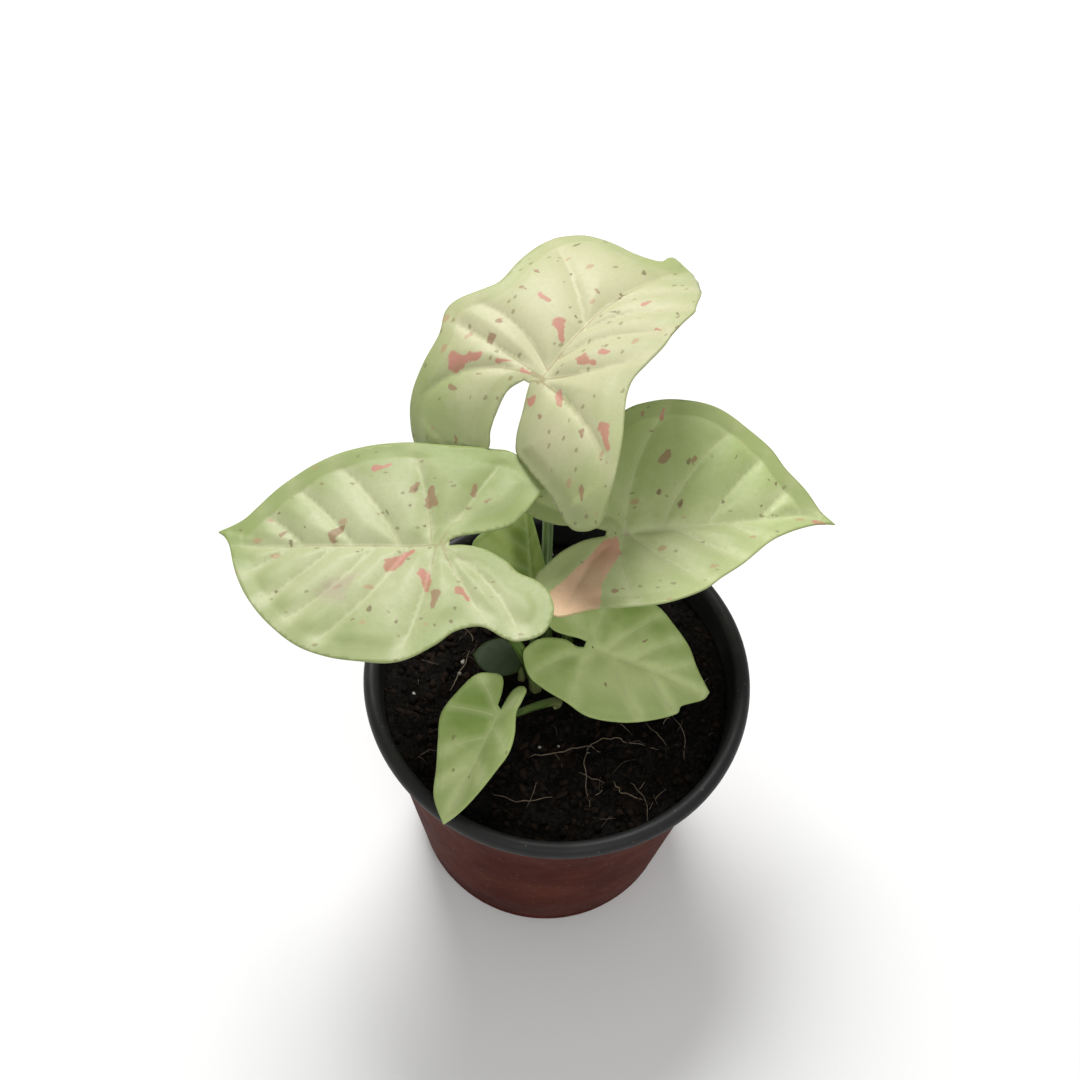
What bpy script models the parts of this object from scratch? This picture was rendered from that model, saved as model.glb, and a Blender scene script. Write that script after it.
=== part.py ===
"""Young arrowhead vine growing in a thin round nursery pot.

Lengths below are millimetres and angles are degrees; MM turns lengths into Blender's metres.
The origin is the middle of the pot's underside, +Z is up, and the front faces -Y.
"""
import math
from dataclasses import dataclass

import bmesh
import bpy
from mathutils import Vector, noise
from mathutils.geometry import delaunay_2d_cdt

MM = 0.001
GAP = 0.3                 # clearance between pieces that touch on the real plant
JOINT_GAP = 0.35          # the same between a stalk's sloping end and its blade
MERGE = 0.00001           # metres

# Pot: one thin moulded shell with a rolled rim
POT_HEIGHT = 85.0
RIM_RADIUS = 50.0
BEAD_WIDTH = 4.2
BEAD_HEIGHT = 4.6
BEAD_POINTS = 10
BEAD_TURN = 1.36          # how far round the bead its profile runs, in half turns
BEAD_FOOT = 0.48          # where the wall meets it, below its middle as a share of its height
WALL = 1.0
WALL_MIDDLE = 40.0        # height of a ring of points halfway up the wall
BASE_RADIUS = 36.0
FLOOR = 1.5
CORNER = 1.5              # slope between floor and wall, inside
FOOT_BEVEL = (1.2, 2.0)   # width and height of the bevel outside
POT_STEPS = 56
POT_COLOR = (0.02, 0.02, 0.022)
DRAIN_COUNT = 6
DRAIN_RADIUS = 4.0
DRAIN_RING = 24.0
DRAIN_SIDES = 16

# Soil: fills the pot to a little under the rim
SOIL_TOP = 76.0
SOIL_RINGS = 9
SOIL_STEPS = 40
SOIL_CORNER = (1.7, 1.8)  # width and height of its lower edge's slope
LUMP_HEIGHT = 1.5
LUMP_SCALE = 0.17         # lumps per millimetre
LUMP_FADE = 4.0           # the lumps sink away over this width at the wall
SMALL_LUMP = (0.5, 2.3)   # height and closeness of the smaller lumps on them
SOIL_SEED = Vector((4.0, 7.0, 1.0))
SOIL_COLOR = (0.012, 0.009, 0.007)

# Crown: the short stem that the stalks stand around
CROWN_RADIUS = 2.2
CROWN_RISE = 9.0
CROWN_TIP = [(0.4, 0.3), (0.75, 1.6), (1.0, 5.0)]   # its rounded end: share of the radius, depth
CROWN_STEPS = 14
CROWN_COLOR = (0.16, 0.26, 0.06)

# Blades and stalks
BLADE_THICKNESS = 0.6
STALK_SINK = 8.0          # how deep a stalk goes into the soil
STALK_POINTS = 15
STALK_BEVEL = 2
HOLE_SIDES = 16
MESH_STEP = 3.0           # spacing of the points inside a blade
ROW = math.sqrt(0.75)     # spacing of their rows, as a share of that
CURVE_STEPS = 3           # samples of each stretch of an outline
WAVE_WIDTH = 12.0         # how far in from the margin its waves reach
FLAT_RADIUS = 8.0         # the blade has no lip or waves at its joint, and all of them this far off


@dataclass
class Leaf:
    """A blade on its stalk.

    u runs from the joint with the stalk along the midrib to the tip, and v to the left of it.
    The outlines are those of the blade laid flat, from the tip round to the notch behind the joint.
    """
    joint: tuple          # place of the joint
    turn: tuple           # heading (0 along +X, 90 along +Y), rise of the midrib, lift of the left side
    arch: tuple           # bend per millimetre ahead of the joint, and behind it
    curl: tuple           # where a tighter bend starts along the midrib, that bend per millimetre,
                          # and how much sooner it starts per millimetre to the midrib's right
    sway: float           # sideways bow of the midrib, in millimetres per square millimetre
    fold: float           # rise of each half from the midrib
    droop: tuple          # bend per millimetre across the left half, and across the right half
    lip: tuple            # how far the margin turns down, and the width of the strip that does
    wave: tuple           # height of the margin's waves, and their number round the blade
    left: list            # outline of the left half
    right: list           # outline of the right half
    foot: tuple           # where the stalk enters the soil
    pull: tuple           # point that draws the stalk on its way up
    meet: tuple           # point that draws it as it nears the joint
    stalk: tuple          # stalk radius at the foot and at the joint
    color: tuple


LEAVES = {
    "leaf_top": Leaf(
        joint=(-10.8, 37.9, 156.0), turn=(62, 24, -8), arch=(1.0, 1.8), curl=(49.5, 14, 0.9),
        sway=0.003, fold=13, droop=(0.5, 0.2), lip=(22, 6), wave=(0.6, 5),
        left=[(53.5, 0), (53.7, 3), (52.2, 5.6), (49, 6.6), (47.1, 7.8), (45.8, 12.3), (44.4, 18), (41.6, 22.2),
              (37, 24.8), (33.2, 25.4), (24.4, 24.8), (16.5, 23.6), (12.4, 25.2), (7, 29.2), (3.2, 30.1),
              (-2.2, 28.2), (-9.2, 28.7), (-15.8, 29), (-22, 28), (-28.8, 25), (-33, 19), (-31, 10.5),
              (-21.1, 5.1), (-16, 5.7), (-11, 5.9), (-6, 5.7), (-2.2, 3.6)],
        right=[(53.5, 0), (51.5, -3), (48.2, -6), (44.6, -9.2), (41, -12.6), (37, -15.6), (33.5, -17.9),
               (30.9, -19.6), (27.1, -20.2), (22.5, -21), (18.4, -21.8), (13.4, -21.6), (8.7, -21.2),
               (5, -22.3), (0.8, -24.6), (-4.2, -27.6), (-10.9, -30.2), (-16.3, -31), (-21.5, -30.8),
               (-24.8, -27), (-25.7, -22.5), (-22, -15), (-20.1, -6.9), (-18.8, -2.2), (-15.3, -0.4),
               (-9.7, 0.5), (-4.5, 1.5), (-2.2, 1.9)],
        foot=(-2.4, 6.6), pull=(-7, 15, 92), meet=(-6, 60, 112), stalk=(1.7, 1.15),
        color=(0.60, 0.63, 0.33)),
    "leaf_left": Leaf(
        joint=(-30.3, 1.0, 138.0), turn=(181, -7, -4), arch=(0.15, 0.4), curl=(60, 0, 0),
        sway=0, fold=9, droop=(0.45, 0.3), lip=(24, 6), wave=(0.5, 6),
        left=[(53.5, -3.8), (50.6, -0.9), (46.6, 8.3), (42.3, 15.2), (36.7, 21.2), (29.5, 26.5),
              (21.7, 29.3), (14.2, 30.4), (7.8, 30.8), (2.8, 29.4), (-2.5, 25.9), (-6.5, 22.2),
              (-12, 20.8), (-17.2, 23.3), (-20.8, 23.9), (-25.8, 21.4), (-27.6, 15.4), (-25.9, 10.7),
              (-23.3, 8.1), (-19, 6.3), (-16, 3.6), (-10.9, 0.9), (-6.1, 0.1), (-2.6, 0.2)],
        right=[(53.5, -3.8), (48, -6.7), (44.4, -10.1), (39.7, -14.7), (33.3, -19.3), (26.3, -22.9),
               (18.7, -25.2), (10.6, -26.3), (2.1, -26.1), (-9.8, -25.4), (-15, -24.6), (-21, -20.5),
               (-23.6, -17), (-22, -13.5), (-19.4, -9.2), (-16, -5.8), (-10.5, -3.8), (-5, -2.4),
               (-2.6, -1.2)],
        foot=(-5.2, -1.0), pull=(-6.8, 1.6, 90), meet=(-20, 3, 112), stalk=(1.6, 1.1),
        color=(0.47, 0.56, 0.24)),
    "leaf_right": Leaf(
        joint=(11.0, 21.1, 120.0), turn=(14, 1.5, 2), arch=(0.1, 0.1), curl=(60, 0, 0),
        sway=0, fold=13, droop=(-0.1, -0.2), lip=(20, 6), wave=(0.5, 5),
        left=[(54.3, -4.1), (51.3, 1.1), (48.8, 6.3), (44.8, 12.2), (41.9, 18), (36.8, 24.1),
              (31.2, 29.3), (25.6, 31.7), (18.7, 32.9), (12.3, 32.7), (6.8, 31.4), (-1, 27), (-9, 22.5),
              (-16, 18.5), (-23, 15), (-21.5, 11), (-15.3, 6.2), (-9.8, 4.2), (-5, 2.4), (-2.4, 1)],
        right=[(54.3, -4.1), (49.6, -3.3), (42.4, -5), (36.2, -8.1), (28.3, -14.5), (22.1, -18.5),
               (16.6, -22.2), (7.4, -24.8), (-2.5, -24.5), (-9.7, -23.8), (-18.7, -24.8), (-20.5, -18.4),
               (-21.9, -11.7), (-19, -8.2), (-14.1, -3.8), (-8.5, -1), (-3, -0.4)],
        foot=(2.6, 6.2), pull=(-0.5, 22, 85), meet=(3, 26, 104), stalk=(1.6, 1.1),
        color=(0.44, 0.55, 0.22)),
    "leaf_front": Leaf(
        joint=(8.1, 4.2, 92.0), turn=(-11, -8, 4), arch=(0.4, 0.27), curl=(60, 0, 0),
        sway=0, fold=8, droop=(0.3, 0.3), lip=(16, 4), wave=(0.3, 4),
        left=[(32.8, 0.7), (27.8, 5), (23.6, 9.8), (18.4, 13.6), (12.6, 17), (5, 17.4), (-3, 14.7),
              (-9.5, 10.7), (-13.2, 6.7), (-13.2, 2.8), (-10.6, 1), (-7, 0.9), (-4, 1.2), (-1.8, 1)],
        right=[(32.8, 0.7), (31.7, -1.9), (26.6, -6.1), (25.6, -9), (19.5, -13.7), (12.6, -17.3),
               (4.3, -19), (-2.2, -17.2), (-8.1, -15.7), (-12.7, -13.6), (-15.8, -8.7), (-15.6, -5.9),
               (-12.7, -2.3), (-7.2, -0.5), (-4, -1.2), (-2, -0.8)],
        foot=(5.2, -3.4), pull=(5.5, -3, 84), meet=(8.2, 3, 86), stalk=(1.3, 0.9),
        color=(0.32, 0.43, 0.13)),
    "leaf_narrow": Leaf(
        joint=(-13.8, -17.5, 91.0), turn=(-109, -2.5, 21), arch=(0.16, 0.3), curl=(60, 0, 0),
        sway=0, fold=17, droop=(0.36, 0.4), lip=(12, 3), wave=(0.25, 4),
        left=[(30.4, -0.5), (26, 3.3), (21.4, 5.7), (14.3, 7.9), (9.4, 9), (4.1, 8), (-1.8, 5.3),
              (-4.8, 5.2), (-8.7, 4.6), (-9.8, 2), (-8.3, 0.2), (-4.1, 0), (-2, 0.2)],
        right=[(30.4, -0.5), (24.9, -5.7), (17.9, -8.3), (11, -11.1), (4.6, -13.4), (-2, -12.5),
               (-8.6, -10.5), (-10.7, -7.1), (-10.8, -4), (-7.5, -2.1), (-3, -1.2)],
        foot=(0.8, -4.8), pull=(-2.5, -6.5, 81.5), meet=(-12, -16, 85.5), stalk=(1.2, 0.75),
        color=(0.30, 0.41, 0.12)),
    "leaf_young": Leaf(
        joint=(-8.9, 17.4, 98.6), turn=(104, 32, -28), arch=(0.3, 0.3), curl=(60, 0, 0),
        sway=0, fold=43, droop=(0.2, 0.3), lip=(0, 1), wave=(0.2, 3),
        left=[(20.5, 0), (17, 5.5), (14, 11), (11, 14.8), (6, 15), (1, 12.5), (-3.5, 9.5), (-5.5, 5.5),
              (-4, 2), (-2, 0.8)],
        right=[(20.5, 0), (17.8, -1.9), (10.8, -5), (4, -7.5), (-1.5, -7.5), (-5, -5), (-4.5, -2.2),
               (-2, -0.4)],
        foot=(-6.4, 4.2), pull=(-6.8, 6, 87), meet=(-7.5, 17, 90), stalk=(1.3, 0.8),
        color=(0.20, 0.33, 0.07)),
    "leaf_tiny": Leaf(
        joint=(-10.8, 3.6, 83.0), turn=(180, 2, 8), arch=(0.5, 0.5), curl=(60, 0, 0),
        sway=0, fold=-6, droop=(-1.5, -1.5), lip=(0, 1), wave=(0, 2),
        left=[(11.5, 0), (9, 4), (4.5, 6), (0, 4.4), (-1.5, 2)],
        right=[(11.5, 0), (9, -4), (4.5, -6), (0, -4.4), (-1.5, -2)],
        foot=(-9.2, 1.6), pull=(-9.5, 2, 80), meet=(-10.5, 3.2, 81), stalk=(0.9, 0.6),
        color=(0.03, 0.06, 0.03)),
}


def clear_scene():
    for obj in list(bpy.data.objects):
        bpy.data.objects.remove(obj, do_unlink=True)


def make_collection(name):
    collection = bpy.data.collections.new(name)
    bpy.context.scene.collection.children.link(collection)
    return collection


def make_material(name, color, roughness):
    material = bpy.data.materials.new(name)
    material.use_nodes = True
    shader = material.node_tree.nodes["Principled BSDF"]
    shader.inputs["Base Color"].default_value = (*color, 1.0)
    shader.inputs["Roughness"].default_value = roughness
    return material


def add_object(name, data, collection, color=None, roughness=0.5):
    obj = bpy.data.objects.new(name, data)
    collection.objects.link(obj)
    if color is not None:
        data.materials.append(make_material(name, color, roughness))
    return obj


def evaluated_mesh(obj):
    graph = bpy.context.evaluated_depsgraph_get()
    return bpy.data.meshes.new_from_object(obj.evaluated_get(graph))


def bake(obj):
    """Replace an object with the mesh that its modifiers make."""
    mesh = evaluated_mesh(obj)
    obj.modifiers.clear()
    old = obj.data
    obj.data = mesh
    bpy.data.meshes.remove(old)


def smooth(obj, angle=40):
    obj.data.shade_smooth()
    obj.data.set_sharp_from_angle(angle=math.radians(angle))


def lathe(name, profile, steps, collection, color, roughness):
    """A closed solid turned round Z from a profile that starts and ends on the axis."""
    mesh = bpy.data.meshes.new(name)
    points = [(r * MM, 0.0, z * MM) for r, z in profile]
    mesh.from_pydata(points, [(i, i + 1) for i in range(len(points) - 1)], [])
    obj = add_object(name, mesh, collection, color, roughness)
    screw = obj.modifiers.new("Turn", "SCREW")
    screw.axis = "Z"
    screw.steps = steps
    screw.render_steps = steps
    screw.use_merge_vertices = True
    screw.merge_threshold = MERGE
    bake(obj)
    return obj


def cylinder(name, radius, low, high, place, sides, collection):
    mesh = bpy.data.meshes.new(name)
    shape = bmesh.new()
    bmesh.ops.create_cone(shape, cap_ends=True, segments=sides, radius1=radius * MM,
                          radius2=radius * MM, depth=(high - low) * MM)
    shape.to_mesh(mesh)
    shape.free()
    obj = add_object(name, mesh, collection)
    obj.location = (place[0] * MM, place[1] * MM, (low + high) / 2 * MM)
    return obj


def cut(obj, cutter):
    cutter.hide_render = True
    cutter.display_type = "WIRE"
    boolean = obj.modifiers.new(cutter.name, "BOOLEAN")
    boolean.operation = "DIFFERENCE"
    boolean.object = cutter


def outer_wall(z):
    """Outer radius of the pot's wall at a height."""
    top = RIM_RADIUS - BEAD_WIDTH + WALL
    return BASE_RADIUS + (top - BASE_RADIUS) * z / (POT_HEIGHT - BEAD_HEIGHT / 2)


def make_pot(collection, cutters):
    bead_z = POT_HEIGHT - BEAD_HEIGHT / 2
    bead_r = RIM_RADIUS - BEAD_WIDTH / 2
    bead = []
    for i in range(BEAD_POINTS + 1):
        angle = math.pi * (1 - i * BEAD_TURN / BEAD_POINTS)
        bead.append((bead_r + BEAD_WIDTH / 2 * math.cos(angle), bead_z + BEAD_HEIGHT / 2 * math.sin(angle)))
    join = bead_z - BEAD_HEIGHT * BEAD_FOOT
    inside = [(0, FLOOR), (outer_wall(FLOOR) - WALL - CORNER, FLOOR),
              (outer_wall(FLOOR + CORNER) - WALL, FLOOR + CORNER), (outer_wall(WALL_MIDDLE) - WALL, WALL_MIDDLE)]
    outside = [(outer_wall(join), join), (outer_wall(WALL_MIDDLE), WALL_MIDDLE),
               (outer_wall(FOOT_BEVEL[1]), FOOT_BEVEL[1]), (BASE_RADIUS - FOOT_BEVEL[0], 0), (0, 0)]
    pot = lathe("pot", inside + bead + outside, POT_STEPS, collection, POT_COLOR, 0.4)
    for i in range(DRAIN_COUNT):
        angle = 2 * math.pi * (i + 0.5) / DRAIN_COUNT
        place = (DRAIN_RING * math.cos(angle), DRAIN_RING * math.sin(angle))
        cut(pot, cylinder(f"drain_{i + 1}", DRAIN_RADIUS, -2, FLOOR + 2, place, DRAIN_SIDES, cutters))
    bake(pot)
    smooth(pot)


def lump(x, y):
    """Height of the soil's lumps at a place, in millimetres."""
    spot = Vector((x, y, 0.0)) * LUMP_SCALE + SOIL_SEED
    share, closer = SMALL_LUMP
    return LUMP_HEIGHT * (noise.noise(spot) + share * noise.noise(spot * closer))


def make_soil(collection, cutters):
    low = FLOOR + GAP
    rim = outer_wall(SOIL_TOP) - WALL - GAP
    rings = [(rim * (1 - i / SOIL_RINGS), SOIL_TOP) for i in range(SOIL_RINGS)]
    width, rise = SOIL_CORNER
    side = [(outer_wall(low + rise) - WALL - GAP, low + rise), (outer_wall(low) - WALL - width - GAP, low)]
    soil = lathe("soil", [(0, SOIL_TOP)] + rings[::-1] + side + [(0, low)], SOIL_STEPS,
                 collection, SOIL_COLOR, 0.9)
    for vertex in soil.data.vertices:
        x, y, z = vertex.co / MM
        if z > SOIL_TOP - 1:
            edge = min(1.0, (rim - math.hypot(x, y)) / LUMP_FADE)
            vertex.co.z += lump(x, y) * edge * MM
    holes = [(leaf.foot, leaf.stalk[0]) for leaf in LEAVES.values()] + [((0, 0), CROWN_RADIUS)]
    for i, (place, radius) in enumerate(holes):
        cut(soil, cylinder(f"stalk_hole_{i + 1}", radius + GAP, SOIL_TOP - STALK_SINK - GAP,
                           SOIL_TOP + 5, place, HOLE_SIDES, cutters))
    bake(soil)
    smooth(soil, 60)


def make_crown(collection):
    low = SOIL_TOP - STALK_SINK
    high = SOIL_TOP + CROWN_RISE
    tip = [(CROWN_RADIUS * share, high - depth) for share, depth in CROWN_TIP]
    profile = [(0, high)] + tip + [(CROWN_RADIUS, low), (0, low)]
    smooth(lathe("crown_stem", profile, CROWN_STEPS, collection, CROWN_COLOR, 0.5))


def spline(points, steps=CURVE_STEPS):
    """A smooth line through points, as more points (Catmull-Rom)."""
    ends = [points[0]] + points + [points[-1]]
    line = []
    for a, b, c, d in zip(ends, ends[1:], ends[2:], ends[3:]):
        for i in range(steps):
            t = i / steps
            line.append(tuple(
                0.5 * (2 * q + (r - p) * t + (2 * p - 5 * q + 4 * r - s) * t ** 2
                       + (3 * q - p - 3 * r + s) * t ** 3)
                for p, q, r, s in zip(a, b, c, d)))
    return line + [points[-1]]


def outline(leaf):
    """The flat blade's outline, anticlockwise from the tip."""
    return spline(leaf.left) + spline(leaf.right)[:0:-1]


def margin(rim, u, v):
    """Distance from a point to the outline, and the place round it from 0 to 1 that is nearest."""
    best, where = math.inf, 0.0
    for i, (au, av) in enumerate(rim):
        bu, bv = rim[(i + 1) % len(rim)]
        du, dv = bu - au, bv - av
        t = ((u - au) * du + (v - av) * dv) / max(du * du + dv * dv, 1e-9)
        t = min(1.0, max(0.0, t))
        gap = math.hypot(u - au - du * t, v - av - dv * t)
        if gap < best:
            best, where = gap, (i + t) / len(rim)
    return best, where


def inside(rim, u, v):
    """Whether a point lies within the outline."""
    crossings = 0
    for (au, av), (bu, bv) in zip(rim, rim[1:] + rim[:1]):
        if (av > v) != (bv > v) and u < au + (bu - au) * (v - av) / (bv - av):
            crossings += 1
    return crossings % 2 == 1


def filling(rim):
    """Points spread evenly over the blade, with one row of them on the midrib."""
    points = []
    rows = int(max(abs(v) for _, v in rim) / (MESH_STEP * ROW)) + 1
    columns = int(max(abs(u) for u, _ in rim) / MESH_STEP) + 1
    for row in range(-rows, rows + 1):
        for column in range(-columns, columns + 1):
            u, v = (column + 0.5 * (row % 2)) * MESH_STEP, row * MESH_STEP * ROW
            if inside(rim, u, v) and margin(rim, u, v)[0] > MESH_STEP * 0.5:
                points.append((u, v))
    return points


def turned(leaf):
    """The blade's directions at its joint: along the midrib, to the left and up."""
    heading, rise, lift = (math.radians(a) for a in leaf.turn)
    ahead = Vector((math.cos(heading) * math.cos(rise), math.sin(heading) * math.cos(rise), math.sin(rise)))
    level = Vector((-math.sin(heading), math.cos(heading), 0.0))
    side = level * math.cos(lift) + ahead.cross(level) * math.sin(lift)
    return ahead, side, ahead.cross(side)


def bent(distance, angle, per_mm):
    """Where a strip of this length ends, bent down from an angle: (along, up, angle at its end)."""
    rate = math.radians(per_mm) or 1e-7
    end = angle + rate * distance
    return (math.sin(end) - math.sin(angle)) / rate, (math.cos(end) - math.cos(angle)) / rate, end


def blade_point(leaf, u, v, height=0.0):
    """World place, in millimetres, of a point of the flat blade, raised from it by a height."""
    start, tighter, slant = leaf.curl
    start += slant * min(v, 0.0)
    ahead_bend, back_bend = leaf.arch
    x, z, angle = bent(min(u, start), 0.0, ahead_bend if u > 0 else back_bend)
    if u > start:
        dx, dz, angle = bent(u - start, angle, ahead_bend + tighter)
        x, z = x + dx, z + dz
    half = leaf.droop[0] if v > 0 else leaf.droop[1]
    across, up, _ = bent(abs(v), -math.radians(leaf.fold), half)
    up += height
    ahead, side, above = turned(leaf)
    place = Vector(leaf.joint)
    place += ahead * (x + up * math.sin(angle)) + above * (z + up * math.cos(angle))
    return place + side * (math.copysign(across, v) - leaf.sway * max(u, 0.0) ** 2)


def blade_height(leaf, u, v, gap, where):
    """Relief of a point at a distance from the margin, where being the place round it from 0 to 1."""
    tilt, width = leaf.lip
    lip = max(0.0, width - gap) ** 2 / (2 * width) * math.tan(math.radians(tilt))
    high, count = leaf.wave
    reach = max(0.0, 1 - gap / WAVE_WIDTH) ** 2
    ease = min(1.0, math.hypot(u, v) / FLAT_RADIUS)
    return ease * (high * reach * math.sin(2 * math.pi * count * where) - lip)


def make_blade(name, leaf, collection):
    """The flat outline filled with triangles, shaped to the blade and thickened."""
    rim = outline(leaf)
    points = [Vector(point) for point in rim + filling(rim)]
    flat, _, faces, _, _, _ = delaunay_2d_cdt(points, [], [list(range(len(rim)))], 1, 1e-6)
    places = [blade_point(leaf, u, v, blade_height(leaf, u, v, *margin(rim, u, v))) * MM for u, v in flat]
    mesh = bpy.data.meshes.new(name)
    mesh.from_pydata(places, [], faces)
    blade = add_object(name, mesh, collection, leaf.color, 0.5)
    solidify = blade.modifiers.new("Thickness", "SOLIDIFY")
    solidify.thickness = BLADE_THICKNESS * MM
    solidify.offset = -1.0
    solidify.use_even_offset = False
    smooth(blade, 50)


def make_stalk(name, leaf, collection):
    """A tapered stalk from its hole in the soil up to the underside of the blade."""
    _, _, above = turned(leaf)
    foot = Vector((*leaf.foot, SOIL_TOP - STALK_SINK))
    straight = Vector((*leaf.foot, SOIL_TOP + 1.0))
    pull, meet = Vector(leaf.pull), Vector(leaf.meet)
    slope = (Vector(leaf.joint) - meet).normalized().cross(above).length
    head = Vector(leaf.joint) - above * (BLADE_THICKNESS + JOINT_GAP + slope * leaf.stalk[1])
    curve = bpy.data.curves.new(name, "CURVE")
    curve.dimensions = "3D"
    curve.bevel_depth = MM
    curve.bevel_resolution = STALK_BEVEL
    curve.use_fill_caps = True
    line = curve.splines.new("POLY")
    line.points.add(STALK_POINTS)
    line.points[0].co = (*(foot * MM), 1.0)
    line.points[0].radius = leaf.stalk[0]
    for i in range(STALK_POINTS):
        t = i / (STALK_POINTS - 1)
        point = (straight * (1 - t) ** 3 + pull * 3 * t * (1 - t) ** 2
                 + meet * 3 * t ** 2 * (1 - t) + head * t ** 3)
        line.points[i + 1].co = (*(point * MM), 1.0)
        line.points[i + 1].radius = leaf.stalk[0] + (leaf.stalk[1] - leaf.stalk[0]) * t
    add_object(name, curve, collection, tuple(c * 0.6 for c in leaf.color), 0.5)


def main():
    clear_scene()
    parts = make_collection("potted_syngonium")
    cutters = make_collection("cutters")
    make_pot(parts, cutters)
    make_soil(parts, cutters)
    make_crown(parts)
    for name, leaf in LEAVES.items():
        make_blade(name, leaf, parts)
        make_stalk(name.replace("leaf", "stalk"), leaf, parts)


main()
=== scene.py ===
"""Looks of a young arrowhead vine in its nursery pot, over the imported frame.

Lengths below are millimetres and angles are degrees; MM turns lengths into Blender's metres.
The blades follow the solids' outlines and bends, but for the tip of leaf_top, the rear of leaf_right
and the turn of the margins, and have veins, waves and marks besides.
"""
import math
import random
from dataclasses import dataclass

import bmesh
import bpy
import numpy as np
from mathutils import Matrix, Vector, noise
from mathutils.geometry import delaunay_2d_cdt

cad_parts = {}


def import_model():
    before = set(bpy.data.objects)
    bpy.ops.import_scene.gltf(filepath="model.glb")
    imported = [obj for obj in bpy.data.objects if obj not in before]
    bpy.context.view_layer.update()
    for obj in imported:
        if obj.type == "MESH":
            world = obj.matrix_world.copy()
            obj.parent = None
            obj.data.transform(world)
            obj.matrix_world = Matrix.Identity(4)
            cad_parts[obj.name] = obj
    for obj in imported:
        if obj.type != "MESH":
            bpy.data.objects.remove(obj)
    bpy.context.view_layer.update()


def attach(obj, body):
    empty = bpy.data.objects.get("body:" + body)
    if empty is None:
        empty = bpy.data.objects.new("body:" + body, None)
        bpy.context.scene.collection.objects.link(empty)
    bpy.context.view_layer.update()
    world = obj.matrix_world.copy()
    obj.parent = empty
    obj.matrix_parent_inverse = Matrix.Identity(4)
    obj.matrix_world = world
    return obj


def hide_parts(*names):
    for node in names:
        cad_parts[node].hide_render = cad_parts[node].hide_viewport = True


MM = 0.001

# Camera: looks down into the pot from the front, turned a little clockwise
CAMERA_PLACE = Vector((0.0, -197.2, 453.5))
CAMERA_AIM = Vector((-8.4, 40.66, 82.7))
CAMERA_ROLL = 4.23
FOCAL_LENGTH = 54.13
SENSOR = 36.0

# Pot: one thin moulded shell with a rolled rim
POT_HEIGHT = 85.0
RIM_RADIUS = 50.0
BEAD_WIDTH = 4.2
BEAD_HEIGHT = 4.6
WALL = 1.0
BASE_RADIUS = 36.0
FLOOR = 1.5
POT_STEPS = 144
DRAIN_COUNT = 6
DRAIN_RADIUS = 4.0
DRAIN_RING = 24.0

# Soil and what lies on it
SOIL_TOP = 76.0
SOIL_STEP = 1.0           # spacing of the points of its surface
SOIL_SIDES = 200          # points round its edge
LUMP_HEIGHT = 1.5
LUMP_SCALE = 0.17         # lumps per millimetre
SOIL_SEED = Vector((4.0, 7.0, 1.0))
CRUMBS = 1500
CRUMB_SEED = 11
FLAKES = 0.07             # share of the crumbs that are flakes of bark
PALE_GRAINS = 0.012       # share that are pale grains
FIBRES = 90
FIBRE_SEED = 5
FOOT_ROOM = 3.0           # no crumb or fibre starts this near the middle of a stalk's foot
ROOTS = [                 # long pale roots that lie on the soil
    [(11.5, -32.8), (10.0, -26.0), (9.2, -19.9), (10.6, -15.6), (15.4, -13.6), (21.3, -14.3), (27.8, -15.0)],
    [(-5.0, -20.8), (1.5, -19.4), (8.9, -16.3), (13.0, -17.5)],
    [(16.7, -24.9), (18.1, -26.7), (19.5, -28.1), (24.8, -29.2)],
    [(21.0, -24.9), (24.8, -28.6), (26.5, -35.2)],
    [(-27.2, -4.8), (-24.9, 2.0), (-23.5, 7.5)],
    [(-19.5, -3.9), (-17.6, 2.8), (-16.3, 6.9)],
    [(28.0, -2.0), (33.5, -9.0), (34.5, -17.0)],
    [(2.0, -31.0), (-6.0, -33.5), (-13.0, -32.0)],
]

# Blades
STALK_SINK = 4.8          # how deep the stalks start in the soil
THICKNESS = 0.42
MESH_STEP = 0.8           # spacing of a blade's points
CURVE_STEPS = 8           # points of a smooth line for each point given
ROW = math.sqrt(0.75)     # rows of a hexagonal grid lie this much of a step apart
WAVE_WIDTH = 12.0         # width of the strip along the margin that waves
FLAT_RADIUS = 8.0         # the waves fade this near the joint
CREASE = 0.5              # half width of the soft crease along the midrib
VEIN_REACH = 2.8          # how far the dip along a vein reaches
RING_REACH = 1.6          # the same for the vein that runs round inside the margin
VEIN_STEP = 0.5           # spacing of the points along a vein
STALK_SIDES = 16
STALK_STEPS = 40          # points up to the joint, and along the midrib's back beyond it
BACK_STEPS = 26
SHARP = math.radians(50)  # edges sharper than this stay sharp

# Stage: lights by place, size and power, in metres and watts
KEY_LIGHT = ((-0.16, 0.50, 0.87), 0.44, 9.0)
FILL_LIGHT = ((0.20, -0.70, 0.75), 0.8, 3.0)
LIT_POINT = (0.0, 0.0, 0.11)
WORLD_STRENGTH = 0.42
FLOOR_REACH = 4.0


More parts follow.
